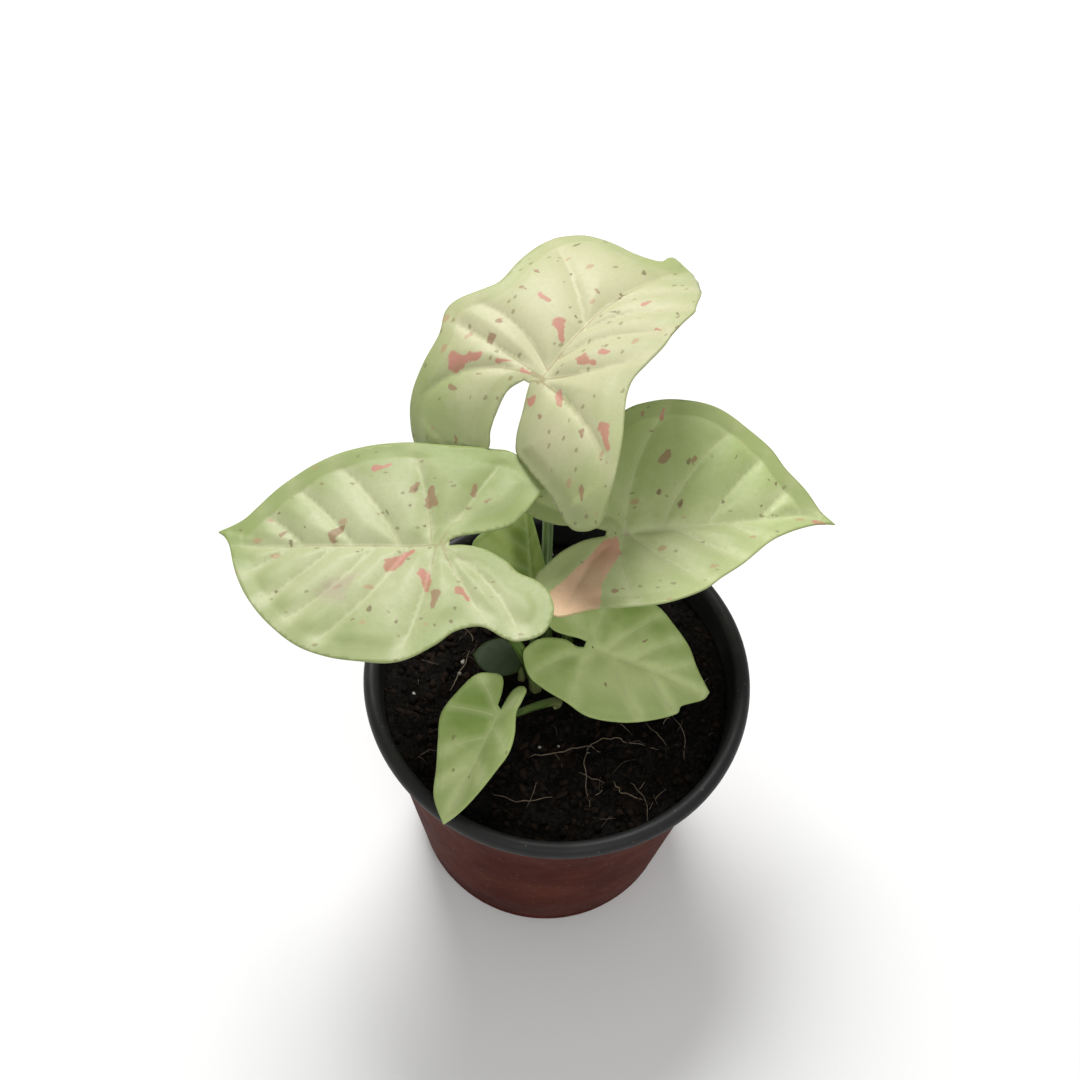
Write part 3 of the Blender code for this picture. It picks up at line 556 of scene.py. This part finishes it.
def soil_material():
    s = Shade("soil_grains", (0.0020, 0.0017, 0.0014), 0.95, 0.08)
    grain = s.noise(s.place(), 900.0, 6.0)
    damp = s.noise(s.place(), 90.0, 3.0)
    s.coat((0.010, 0.008, 0.006), s.step(grain, 0.35, 0.75))
    s.coat((0.018, 0.010, 0.006), s.step(damp, 0.58, 0.75), 0.5)
    return s.finish(s.bump(grain, 0.9, 0.9), s.plus(0.62, s.times(s.step(damp, 0.4, 0.6), 0.35)))


def crumb_material():
    """Crumbs of peat and bark: tone runs from near black to red brown, and a few grains are pale."""
    s = Shade("crumbs", (0.003, 0.0024, 0.002), 0.9, 0.12)
    tone, _, _ = s.split(s.attribute("tone"))
    grain = s.noise(s.place(), 1500.0, 4.0)
    s.coat((0.018, 0.0098, 0.0062), s.step(tone, 0.25, 0.9))
    s.coat((0.45, 0.43, 0.38), s.step(tone, 0.95, 0.96))
    s.coat((0.02, 0.014, 0.01), s.step(grain, 0.4, 0.7), 0.4)
    return s.finish(s.bump(grain, 0.8, 0.4))


def fibre_material():
    s = Shade("root_fibre", (0.030, 0.018, 0.011), 0.6, 0.35)
    tone, _, _ = s.split(s.attribute("tone"))
    s.coat((0.22, 0.17, 0.11), tone)
    s.coat((0.035, 0.020, 0.011), s.step(s.noise(s.place(), 260.0, 3.0), 0.4, 0.7), 0.55)
    return s.finish()


def floor_material():
    s = Shade("studio_floor", (0.83, 0.83, 0.82), 0.9, 0.2)
    s.coat((0.86, 0.86, 0.85), s.noise(s.place(), 3.0))
    return s.finish()


# Meshes

def new_object(name, data, materials=()):
    obj = bpy.data.objects.new(name, data)
    bpy.context.scene.collection.objects.link(obj)
    for material in materials:
        data.materials.append(material)
    return obj


def mesh_from(name, shape):
    mesh = bpy.data.meshes.new(name)
    shape.to_mesh(mesh)
    shape.free()
    return mesh


def smooth_object(name, places, faces, materials, **numbers):
    """An object from points in millimetres, with three numbers at each that its materials read."""
    mesh = bpy.data.meshes.new(name)
    mesh.from_pydata(np.array(places) * MM, [], faces)
    for label, rows in numbers.items():
        mesh.attributes.new(label, "FLOAT_VECTOR", "POINT")
        mesh.attributes[label].data.foreach_set("vector", np.asarray(rows, dtype=np.float32).ravel())
    mesh.shade_smooth()
    return new_object(name, mesh, materials)


def hexagons(reach, step):
    """Points of a hexagonal grid out to a reach, with a row of them on the first axis."""
    rows, columns = (np.arange(-int(reach / gap), int(reach / gap) + 1) for gap in (step * ROW, step))
    row, column = np.meshgrid(rows, columns, indexing="ij")
    return np.stack([(column + 0.5 * (row % 2)) * step, row * step * ROW], -1).reshape(-1, 2)


def triangles(rim, inner):
    """Points and faces that fill an outline, by way of the points inside it."""
    points = [Vector(p) for p in np.concatenate([rim, inner])]
    flat, _, faces, _, _, _ = delaunay_2d_cdt(points, [], [list(range(len(rim)))], 1, 1e-6)
    return np.array(flat), faces


def spline(points, steps=CURVE_STEPS):
    """A smooth line through points, as more points (Catmull-Rom)."""
    ends = [points[0]] + list(points) + [points[-1]]
    line = []
    for a, b, c, d in zip(ends, ends[1:], ends[2:], ends[3:]):
        for i in range(steps):
            t = i / steps
            line.append(tuple(
                0.5 * (2 * q + (r - p) * t + (2 * p - 5 * q + 4 * r - s) * t ** 2
                       + (3 * q - p - 3 * r + s) * t ** 3)
                for p, q, r, s in zip(a, b, c, d)))
    return line + [tuple(points[-1])]


def outline(leaf):
    """The flat blade's outline, anticlockwise from the tip."""
    return np.array(spline(leaf.left) + spline(leaf.right)[:0:-1])


def nearest(points, starts, ends):
    """Distance to the nearest of some straight pieces, and its number plus the share along it."""
    best = np.full(len(points), np.inf)
    where = np.zeros(len(points))
    for i, (a, b) in enumerate(zip(starts, ends)):
        run = b - a
        t = np.clip(((points - a) @ run) / max(run @ run, 1e-9), 0.0, 1.0)
        gap = np.hypot(*(points - a - t[:, None] * run).T)
        closer = gap < best
        best[closer] = gap[closer]
        where[closer] = i + t[closer]
    return best, where


def from_rim(points, rim):
    """The same for a closed outline."""
    return nearest(points, rim, np.roll(rim, -1, axis=0))


def inside(points, rim):
    """Which points lie within an outline."""
    odd = np.zeros(len(points), dtype=bool)
    u, v = points.T
    for (au, av), (bu, bv) in zip(rim, np.roll(rim, -1, axis=0)):
        if av != bv:
            odd ^= ((av > v) != (bv > v)) & (u < au + (bu - au) * (v - av) / (bv - av))
    return odd


def side_vein(rim, start, angle, bend):
    """A vein walked out from the midrib until it nears the margin."""
    place, heading, line = np.array([start, 0.0]), math.radians(angle), []
    for i in range(140):
        line.append(place)
        place = place + VEIN_STEP * np.array([math.cos(heading), math.sin(heading)])
        heading += math.radians(bend) * VEIN_STEP
        if i > 8 and np.hypot(*(rim - place).T).min() < 1.2:
            break
    return np.array(line)


def vein_lines(leaf, rim):
    midrib = np.array([(u, 0.0) for u in np.arange(-1.5, leaf.left[0][0] - 1.0, VEIN_STEP)])
    return [midrib] + [side_vein(rim, *vein) for vein in leaf.veins]


def filling(rim, lines):
    """Points over the blade: a hexagonal grid with a row on the midrib, and rows along each vein."""
    grid = hexagons(np.abs(rim).max() + MESH_STEP, MESH_STEP)
    veins = np.zeros((1, 2))
    for line in lines[1:]:
        apart = np.linalg.norm(line[:, None] - veins[None], axis=2).min(axis=1)
        veins = np.concatenate([veins, line[(apart > 0.4) & (np.abs(line[:, 1]) > 0.5)]])
    apart = np.linalg.norm(grid[:, None] - veins[None], axis=2).min(axis=1)
    points = np.concatenate([grid[apart > MESH_STEP * 0.5], veins])
    points = points[inside(points, rim)]
    return points[from_rim(points, rim)[0] > MESH_STEP * 0.45]


def turned(leaf):
    """The blade's directions at its joint: along the midrib, to the left and up."""
    heading, rise, lift = (math.radians(a) for a in leaf.turn)
    ahead = np.array([math.cos(heading) * math.cos(rise), math.sin(heading) * math.cos(rise), math.sin(rise)])
    level = np.array([-math.sin(heading), math.cos(heading), 0.0])
    side = level * math.cos(lift) + np.cross(ahead, level) * math.sin(lift)
    return ahead, side, np.cross(ahead, side)


def bent(distance, angle, per_mm):
    """Where a strip of this length ends, bent down from an angle: (along, up, angle at its end)."""
    rate = np.radians(per_mm)
    rate = np.where(np.abs(rate) < 1e-7, 1e-7, rate)
    end = angle + rate * distance
    return (np.sin(end) - np.sin(angle)) / rate, (np.cos(end) - np.cos(angle)) / rate, end


def blade_points(leaf, flat, height):
    """World places of points of the flat blade, each raised from it by its height."""
    u, v = flat.T
    start = leaf.curl[0] + leaf.curl[2] * np.minimum(v, 0.0)
    x, z, angle = bent(np.minimum(u, start), 0.0, np.where(u > 0, leaf.arch[0], leaf.arch[1]))
    beyond = np.maximum(u - start, 0.0)
    dx, dz, angle = bent(beyond, angle, leaf.arch[0] + leaf.curl[1])
    x, z = x + dx, z + dz
    soft = np.sqrt(v ** 2 + CREASE ** 2) - CREASE
    across, up, _ = bent(np.abs(v), -math.radians(leaf.fold), np.where(v > 0, *leaf.droop))
    up = up * np.where(np.abs(v) > 1e-6, soft / np.maximum(np.abs(v), 1e-6), 0.0) + height
    ahead, side, above = turned(leaf)
    sideways = np.copysign(across, v) - leaf.sway * np.maximum(u, 0.0) ** 2
    return (np.array(leaf.joint) + np.outer(x + up * np.sin(angle), ahead)
            + np.outer(z + up * np.cos(angle), above) + np.outer(sideways, side))


def gentle(points, scale, seed):
    """Smooth noise from -1 to 1 at each flat point."""
    return np.array([noise.noise(Vector((u * scale, v * scale, seed))) for u, v in points])


def relief(leaf, flat, rim, lines, seed):
    """How far the blade stands off its plain surface, and its distances to the margin and to a vein.

    It dips along the veins and along the one inside the margin, and swells between them.
    """
    gap, where = from_rim(flat, rim)
    starts = np.concatenate([line[:-1] for line in lines])
    ends = np.concatenate([line[1:] for line in lines])
    shares = np.concatenate([np.linspace(0, 1, len(line))[:-1] for line in lines])
    vein, piece = nearest(flat, starts, ends)
    along = shares[np.minimum(piece.astype(int), len(shares) - 1)]
    tilt, width = leaf.lip
    lip = np.maximum(0.0, width - gap) ** 2 / (2 * width) * math.tan(math.radians(tilt))
    high, count = leaf.wave
    reach = np.maximum(0.0, 1 - gap / WAVE_WIDTH) ** 2
    ease = np.minimum(1.0, np.hypot(*flat.T) / FLAT_RADIUS)
    ripple = np.sin(2 * math.pi * count * where / len(rim)) + 0.5 * gentle(flat, 0.13, seed)
    near, far = leaf.dip
    depth = near + (far - near) * along
    inset, ring_depth = leaf.strip[:2]
    within = np.clip((gap - inset * 0.6) / inset, 0.0, 1.0)
    dips = depth * (np.exp(-vein / VEIN_REACH) - 0.45) * within
    uneven = 0.8 + 0.9 * gentle(flat, 0.07, seed + 9.0)
    ring = ring_depth * np.exp(-np.abs(gap - inset) / RING_REACH) * uneven
    soft = 0.35 * gentle(flat, 0.09, seed + 5.0) * np.minimum(1.0, gap / 6.0)
    height = ease * (high * reach * ripple - lip + soft - ring) - dips * np.minimum(1.0, 0.35 + ease)
    return height, gap, vein


def inset_line(rim, inset):
    """The outline moved inward by a distance, without the stretches that would cross."""
    run = np.roll(rim, -1, axis=0) - np.roll(rim, 1, axis=0)
    inward = np.column_stack([-run[:, 1], run[:, 0]]) / np.linalg.norm(run, axis=1)[:, None]
    line = rim + inward * inset
    return line[(from_rim(line, rim)[0] > inset * 0.97) & inside(line, rim)]


def polygon_field(points, corners):
    """Distance into an outline in millimetres, negative outside."""
    corners = np.array(corners, dtype=float)
    gap, _ = from_rim(points, corners)
    return np.where(inside(points, corners), gap, -gap)


def mark_field(points, marks):
    """1 along the middle of each mark, 0 at its sides, and -1 far from all; a mark narrows to its end."""
    field = np.full(len(points), -1.0)
    for u0, v0, u1, v1, half in marks:
        gap, share = nearest(points, np.array([[u0, v0]]), np.array([[u1, v1]]))
        field = np.maximum(field, 1 - gap / (half * (1.35 - 0.8 * share)))
    return field


def green_field(leaf, points, gap):
    """Green by the greener areas, distance inside the vein that follows the margin, and the strip's green,
    which is mostly painted shade: greener on a blade's far side, where its margin turns down away from the
    light.
    """
    green = np.zeros(len(points))
    for u, v, radius, amount in leaf.greener:
        green += amount * np.exp(-((points[:, 0] - u) ** 2 + (points[:, 1] - v) ** 2) / radius ** 2)
    inset, _, left, right = leaf.strip
    side = 0.5 + 0.5 * np.tanh(points[:, 1] / 4.0)
    return np.column_stack([green, gap - inset, right + (left - right) * side])


def make_blade(name, leaf, seed):
    rim = outline(leaf)
    lines = vein_lines(leaf, rim)
    flat, faces = triangles(rim, filling(rim, lines + [inset_line(rim, leaf.strip[0])]))
    height, gap, vein = relief(leaf, flat, rim, lines, seed)
    pink, tan, dark, mauve = (mark_field(flat, m) for m in (leaf.pink, leaf.tan, leaf.dark, leaf.mauve))
    sector = np.full(len(flat), -1.0)
    if leaf.sector:
        sector = np.clip(polygon_field(flat, leaf.sector) + 0.45, -1.0, 1.0)
    look = LOOKS[leaf.look]
    materials = [blade_material(name + "_top", look, seed * 31.0),
                 under_material(name + "_under", look, seed * 17.0)]
    blade = smooth_object(name + "_blade", blade_points(leaf, flat, height), faces, materials,
                          blade=np.column_stack([flat, gap]), marks=np.column_stack([vein, pink, tan]),
                          tone=green_field(leaf, flat, gap), spots=np.column_stack([dark, mauve, sector]))
    solidify = blade.modifiers.new("Thickness", "SOLIDIFY")
    solidify.thickness = THICKNESS * MM
    solidify.offset = -1.0
    solidify.material_offset = 1
    solidify.material_offset_rim = 0
    return blade


def tube_faces(start, rings, sides):
    """Faces of a closed tube, whose points come ring after ring from a start."""
    last = start + (rings - 1) * sides
    faces = [list(range(start, start + sides))[::-1], list(range(last, last + sides))]
    for ring in range(start, last, sides):
        for j in range(sides):
            a, b = ring + j, ring + (j + 1) % sides
            faces.append([a, b, b + sides, a + sides])
    return faces


def tube(points, radii, sides, start=0):
    """Points, faces and (distance along, turn) of a tube along a line."""
    points = [Vector(p) for p in points]
    corners, marks = [], []
    normal = None
    travelled = 0.0
    for i, point in enumerate(points):
        ahead = (points[min(i + 1, len(points) - 1)] - points[max(i - 1, 0)]).normalized()
        if normal is None:
            normal = ahead.orthogonal().normalized()
        normal = (normal - ahead * normal.dot(ahead)).normalized()
        other = ahead.cross(normal)
        travelled += (point - points[i - 1]).length if i else 0.0
        for j in range(sides):
            angle = math.tau * j / sides
            corners.append(point + (normal * math.cos(angle) + other * math.sin(angle)) * radii[i])
            marks.append((travelled, abs(2 * j / sides - 1)))
    return corners, tube_faces(start, len(points), sides), marks


def bezier(a, b, c, d, count):
    return [a * (1 - t) ** 3 + b * 3 * t * (1 - t) ** 2 + c * 3 * t * t * (1 - t) + d * t ** 3
            for t in (i / (count - 1) for i in range(count))]


def make_stalk(name, leaf, material, seed):
    """A stalk that sheathes at its foot, and runs on under the blade as the midrib's tapering back."""
    wide, slim = leaf.stalk
    x, y = leaf.foot
    _, _, above = turned(leaf)
    top = Vector(leaf.joint) - Vector(above) * (THICKNESS + slim * 0.5)
    line = [Vector((x, y, SOIL_TOP - STALK_SINK))]
    line += bezier(Vector((x, y, SOIL_TOP + 1.0)), Vector(leaf.pull), Vector(leaf.meet), top, STALK_STEPS)
    share = np.linspace(0, 1, len(line))
    stem = wide + (slim - wide) * share + wide * 0.22 * np.exp(-share * 14)
    rim = outline(leaf)
    under = np.array([(u, 0.0) for u in np.linspace(1.5, leaf.left[0][0] * 0.75, BACK_STEPS)])
    raised, _, _ = relief(leaf, under, rim, vein_lines(leaf, rim), seed)
    thin = slim * (0.62 * (1 - np.linspace(0, 1, BACK_STEPS)) ** 1.4 + 0.10)
    line += [Vector(p) for p in blade_points(leaf, under, raised - THICKNESS - thin * 0.8)]
    corners, faces, marks = tube(line, [*stem, *thin], STALK_SIDES)
    return smooth_object(name + "_skin", corners, faces, [material], stalk=[(a, r, seed) for a, r in marks])


def outer_wall(z):
    top = RIM_RADIUS - BEAD_WIDTH + WALL
    return BASE_RADIUS + (top - BASE_RADIUS) * z / (POT_HEIGHT - BEAD_HEIGHT / 2)


SOIL_RADIUS = outer_wall(SOIL_TOP) - WALL - 0.1


def turned_solid(name, profile, steps, materials, wobble=0.0):
    """A solid turned round Z from (radius, height, material) rows that start and end on the axis."""
    shape = bmesh.new()
    rings = []
    for r, z, _ in profile:
        if r == 0:
            rings.append([shape.verts.new((0.0, 0.0, z * MM))])
            continue
        ring = []
        for j in range(steps):
            angle = math.tau * j / steps
            spot = Vector((math.cos(angle) * 1.3, math.sin(angle) * 1.3, z * 0.02))
            radius = (r + wobble * (noise.noise(spot) - 0.5) * z / POT_HEIGHT) * MM
            ring.append(shape.verts.new((radius * math.cos(angle), radius * math.sin(angle), z * MM)))
        rings.append(ring)
    for low, high, row in zip(rings, rings[1:], profile[1:]):
        for j in range(steps):
            k = (j + 1) % steps
            if len(low) == 1:
                face = shape.faces.new((low[0], high[j], high[k]))
            elif len(high) == 1:
                face = shape.faces.new((low[j], high[0], low[k]))
            else:
                face = shape.faces.new((low[j], high[j], high[k], low[k]))
            face.material_index = row[2]
            face.smooth = True
    bmesh.ops.recalc_face_normals(shape, faces=shape.faces)
    return new_object(name, mesh_from(name, shape), materials)


def make_pot():
    """Black inside and rolled rim, red-brown outside, with a step under the rim and a foot ring."""
    black = plastic_material("pot_black", (0.009, 0.0095, 0.0095), (0.018, 0.018, 0.017),
                             (0.045, 0.038, 0.03), 0.46, 0.3)
    brown = plastic_material("pot_brown", (0.055, 0.0095, 0.0055), (0.085, 0.018, 0.010),
                             (0.12, 0.08, 0.055), 0.6, 0.05)
    bead_z = POT_HEIGHT - BEAD_HEIGHT / 2
    bead_r = RIM_RADIUS - BEAD_WIDTH / 2
    profile = [(0, FLOOR, 0), (outer_wall(0) - WALL - 1.5, FLOOR, 0)]
    profile += [(outer_wall(z) - WALL, max(z, FLOOR + 1.5), 0) for z in (2.5, 40, 72, bead_z - 3)]
    for angle in np.linspace(math.pi, -0.42 * math.pi, 25):     # rolled rim
        profile.append((bead_r + (BEAD_WIDTH / 2 - 0.05) * math.cos(angle),
                        bead_z + BEAD_HEIGHT / 2 * math.sin(angle), 0))
    for z, out in ((80, 0), (78.6, 0), (78.2, 0.5), (75.6, 0.5), (75, 0)):     # step under the rim
        profile.append((outer_wall(z) + out, z, 1 if z < 79.5 else 0))
    profile += [(outer_wall(z), z, 1) for z in (60, 40, 20, 5.5)]
    profile += [(outer_wall(5) - 0.5, 5, 1), (outer_wall(3), 3, 1)]     # groove above the foot ring
    for inward, z in ((0.2, 0.8), (1.2, 0), (3.0, 0), (3.6, 0.7), (BASE_RADIUS, 0.7)):
        profile.append((BASE_RADIUS - inward, z, 1))
    pot = turned_solid("pot_shell", profile, POT_STEPS, [black, brown], 0.35)
    pot.data.set_sharp_from_angle(angle=SHARP)
    for i in range(DRAIN_COUNT):
        angle = math.tau * (i + 0.5) / DRAIN_COUNT
        shape = bmesh.new()
        bmesh.ops.create_cone(shape, cap_ends=True, segments=32, radius1=DRAIN_RADIUS * MM,
                              radius2=DRAIN_RADIUS * MM, depth=8 * MM)
        drain = new_object("drain", mesh_from("drain", shape))
        drain.location = (DRAIN_RING * math.cos(angle) * MM, DRAIN_RING * math.sin(angle) * MM, 0)
        cut = pot.modifiers.new("Drain", "BOOLEAN")
        cut.operation = "DIFFERENCE"
        cut.object = drain
        bpy.context.view_layer.update()
        mesh = bpy.data.meshes.new_from_object(pot.evaluated_get(bpy.context.evaluated_depsgraph_get()))
        pot.modifiers.clear()
        pot.data = mesh
        bpy.data.objects.remove(drain, do_unlink=True)
    return pot


def soil_height(x, y):
    """Height of the soil's uneven surface."""
    spot = Vector((x, y, 0.0)) * LUMP_SCALE + SOIL_SEED
    # lumps of two sizes and grains of two sizes, lower at the pot's wall
    broad = noise.noise(spot) + 0.5 * noise.noise(spot * 2.3)
    rough = noise.noise(spot * 4.7) + 0.7 * noise.noise(spot * 9.1)
    edge = min(1.0, max(0.0, (SOIL_RADIUS - math.hypot(x, y)) / 4))
    return SOIL_TOP + LUMP_HEIGHT * broad * edge + 0.9 * rough * (0.25 + 0.75 * edge)


def make_soil(material):
    turns = np.linspace(0, math.tau, SOIL_SIDES, endpoint=False)
    circle = np.array([(SOIL_RADIUS * math.cos(a), SOIL_RADIUS * math.sin(a)) for a in turns])
    grid = hexagons(SOIL_RADIUS + SOIL_STEP, SOIL_STEP)
    flat, faces = triangles(circle, grid[np.hypot(*grid.T) < SOIL_RADIUS - SOIL_STEP * 0.5])
    places = [(x, y, soil_height(x, y)) for x, y in flat]
    faces = [list(face) for face in faces]
    middle = len(places)
    low = FLOOR + 0.3
    for r, z in ((outer_wall(3) - WALL - 0.3, low + 1.8), (outer_wall(0) - WALL - 2.0, low)):
        places += [(x / SOIL_RADIUS * r, y / SOIL_RADIUS * r, z) for x, y in circle]
    bottom = middle + SOIL_SIDES
    for j in range(SOIL_SIDES):
        k = (j + 1) % SOIL_SIDES
        faces.append([k, j, middle + j, middle + k])
        faces.append([middle + k, middle + j, bottom + j, bottom + k])
    faces.append([bottom + j for j in range(SOIL_SIDES)][::-1])
    return smooth_object("soil_mass", places, faces, [material])


def anywhere(dice, margin):
    """A random place on the soil, not within the margin along its edge."""
    r = (SOIL_RADIUS - margin) * math.sqrt(dice.random())
    turn = dice.uniform(0, math.tau)
    return r * math.cos(turn), r * math.sin(turn)


def clear_of_stalks(x, y):
    return all(math.hypot(x - leaf.foot[0], y - leaf.foot[1]) > FOOT_ROOM for leaf in LEAVES.values())


def make_crumbs(material):
    """Loose crumbs of peat, flakes of bark and a few pale grains, half sunk in the surface."""
    dice = random.Random(CRUMB_SEED)
    places, faces, tones = [], [], []
    ball = bmesh.new()
    bmesh.ops.create_icosphere(ball, subdivisions=2, radius=1.0)
    ball_points = [v.co.copy() for v in ball.verts]
    ball_faces = [[v.index for v in f.verts] for f in ball.faces]
    ball.free()
    for _ in range(CRUMBS):
        x, y = anywhere(dice, 1.2)
        kind = dice.random()
        if not clear_of_stalks(x, y):
            continue
        size = 0.35 + 0.9 * dice.random() ** 2.5
        stretch = Vector((1.0, dice.uniform(0.6, 1.0), dice.uniform(0.5, 0.9)))
        tone = 0.85 * dice.random() ** 1.6
        if kind > 1 - FLAKES:
            size, stretch, tone = dice.uniform(1.2, 2.6), Vector((1.0, 0.34, 0.2)), dice.uniform(0.4, 0.9)
        elif kind < PALE_GRAINS:
            size, tone = dice.uniform(0.4, 0.7), 1.0
        spin = Matrix.Rotation(dice.uniform(0, 6.28), 3, "Z")
        spin = spin @ Matrix.Rotation(dice.uniform(-0.5, 0.5), 3, "X")
        middle = Vector((x, y, soil_height(x, y) + size * stretch.z * 0.35))
        seed = Vector((dice.uniform(0, 50), 0, 0))
        start = len(places)
        for p in ball_points:
            bumpy = p * (1 + 0.45 * noise.noise(p * 1.3 + seed)) * size
            places.append(middle + spin @ Vector([a * b for a, b in zip(bumpy, stretch)]))
        tones += [(tone, 0.0, 0.0)] * len(ball_points)
        faces += [[start + i for i in face] for face in ball_faces]
    return smooth_object("soil_crumbs", places, faces, [material], tone=tones)


def make_fibres(material):
    """The long roots that lie on the soil, and many finer fibres that stick out of it."""
    dice = random.Random(FIBRE_SEED)
    places, faces, tones = [], [], []

    def add(line, thick, tone):
        radii = [thick * (1 - 0.6 * abs(t) ** 3) for t in np.linspace(-1, 1, len(line))]
        corners, sides, _ = tube(line, radii, 6, len(places))
        places.extend(corners)
        faces.extend(sides)
        tones.extend([(tone, 0.0, 0.0)] * len(corners))

    for route in ROOTS:
        flat = spline(route, 7)
        line = []
        for i, (x, y) in enumerate(flat):
            sway = 0.2 * math.sin(i * 0.9)
            lift = 0.6 + 0.9 * math.sin(math.pi * i / (len(flat) - 1)) * (0.6 + 0.4 * math.sin(i * 1.3))
            line.append((x + sway, y + sway, SOIL_TOP + (soil_height(x, y) - SOIL_TOP) * 0.6 + lift))
        add(line, dice.uniform(0.10, 0.15), dice.uniform(0.55, 1.0))
    for _ in range(FIBRES):
        x, y = anywhere(dice, 3)
        if not clear_of_stalks(x, y):
            continue
        heading, length = dice.uniform(0, 6.28), dice.uniform(3.0, 11.0)
        curve = dice.uniform(-0.25, 0.25)
        rise = dice.choice((0.3, 0.5, 2.2))
        line = []
        for i in range(9):
            line.append((x, y, soil_height(x, y) - 0.25 + rise * math.sin(math.pi * i / 8)))
            x += math.cos(heading) * length / 8
            y += math.sin(heading) * length / 8
            heading += curve + dice.uniform(-0.15, 0.15)
            inward = min(1.0, (SOIL_RADIUS - 1) / math.hypot(x, y))
            x, y = x * inward, y * inward
        add(line, dice.uniform(0.07, 0.14), dice.random() ** 1.5)
    return smooth_object("root_fibres", places, faces, [material], tone=tones)


def make_crown(material):
    """The short stem, wrapped by the sheaths that stalks leave at their feet."""
    places, faces, marks = [], [], []
    sides, rings, sunk = 28, 7, 4
    for i, (radius, low_side, high_side, turn) in enumerate(
            ((2.4, 2.0, 5.5, 0.4), (2.0, 4.0, 7.5, 2.6), (1.5, 6.5, 9.5, 4.4))):
        faces += tube_faces(len(places), rings, sides)
        for t in np.linspace(0, 1, rings):
            for j in range(sides):
                angle = math.tau * j / sides
                top = low_side + (high_side - low_side) * (0.5 + 0.5 * math.cos(angle - turn)) ** 2
                r = radius * (1.0 - 0.14 * t + 0.25 * (1 - t) ** 3)
                places.append((r * math.cos(angle), r * math.sin(angle), SOIL_TOP - sunk + (top + sunk) * t))
                marks.append((4 + 12 * t, abs(2 * j / sides - 1), i * 3.0))
    crown = smooth_object("crown_sheaths", places, faces, [material], stalk=marks)
    crown.data.set_sharp_from_angle(angle=SHARP)
    return crown


# Stage

def add_area_light(name, place, size, power):
    lamp = bpy.data.lights.new(name, "AREA")
    lamp.shape = "DISK"
    lamp.size = size
    lamp.energy = power
    obj = new_object(name, lamp)
    obj.location = place
    obj.rotation_euler = (Vector(LIT_POINT) - Vector(place)).to_track_quat("-Z", "Y").to_euler()


def make_stage():
    mesh = bpy.data.meshes.new("floor")
    corners = [(x * FLOOR_REACH, y * FLOOR_REACH, 0) for x, y in ((-1, -1), (1, -1), (1, 1), (-1, 1))]
    mesh.from_pydata(corners, [], [(0, 1, 2, 3)])
    new_object("floor", mesh, [floor_material()])
    world = bpy.data.worlds.new("studio")
    bpy.context.scene.world = world
    world.use_nodes = True
    background = world.node_tree.nodes["Background"]
    background.inputs[0].default_value = (1.0, 1.0, 1.0, 1.0)
    background.inputs[1].default_value = WORLD_STRENGTH
    add_area_light("key", *KEY_LIGHT)
    add_area_light("fill", *FILL_LIGHT)
    bpy.context.scene.view_settings.view_transform = "Standard"


def make_camera():
    lens = bpy.data.cameras.new("camera")
    lens.lens = FOCAL_LENGTH
    lens.sensor_width = SENSOR
    lens.clip_start = 0.01
    camera = new_object("camera", lens)
    away = (CAMERA_PLACE - CAMERA_AIM).normalized()
    level = Vector((0, 0, 1)).cross(away).normalized()
    up = away.cross(level)
    roll = math.radians(CAMERA_ROLL)
    right = level * math.cos(roll) + up * math.sin(roll)
    up = away.cross(right)
    place = CAMERA_PLACE * MM
    camera.matrix_world = Matrix([(right[i], up[i], away[i], place[i]) for i in range(3)] + [(0, 0, 0, 1)])
    bpy.context.scene.camera = camera


def dress(piece, slot, *nodes):
    """Hands a finished piece to the frame, in place of the solids that it stands for."""
    if nodes:
        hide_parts(*nodes)
    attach(piece, "root")


def main():
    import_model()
    make_camera()
    make_stage()
    dress(make_pot(), "pot", "pot")
    dress(make_soil(soil_material()), "soil", "soil")
    dress(make_crumbs(crumb_material()), "soil")
    dress(make_fibres(fibre_material()), "soil")
    skin = stalk_material()
    dress(make_crown(skin), "stalk", "crown_stem")
    slots = {"pale": "pale_leaf", "soft": "leaf", "fresh": "leaf", "green": "green_leaf",
             "young": "young_leaf", "dark": "dark_leaf"}
    for i, (name, leaf) in enumerate(LEAVES.items()):
        dress(make_blade(name, leaf, 1.0 + i), slots[leaf.look], name)
        stalk = name.replace("leaf", "stalk")
        dress(make_stalk(stalk, leaf, skin, 1.0 + i), "stalk", stalk)


main()
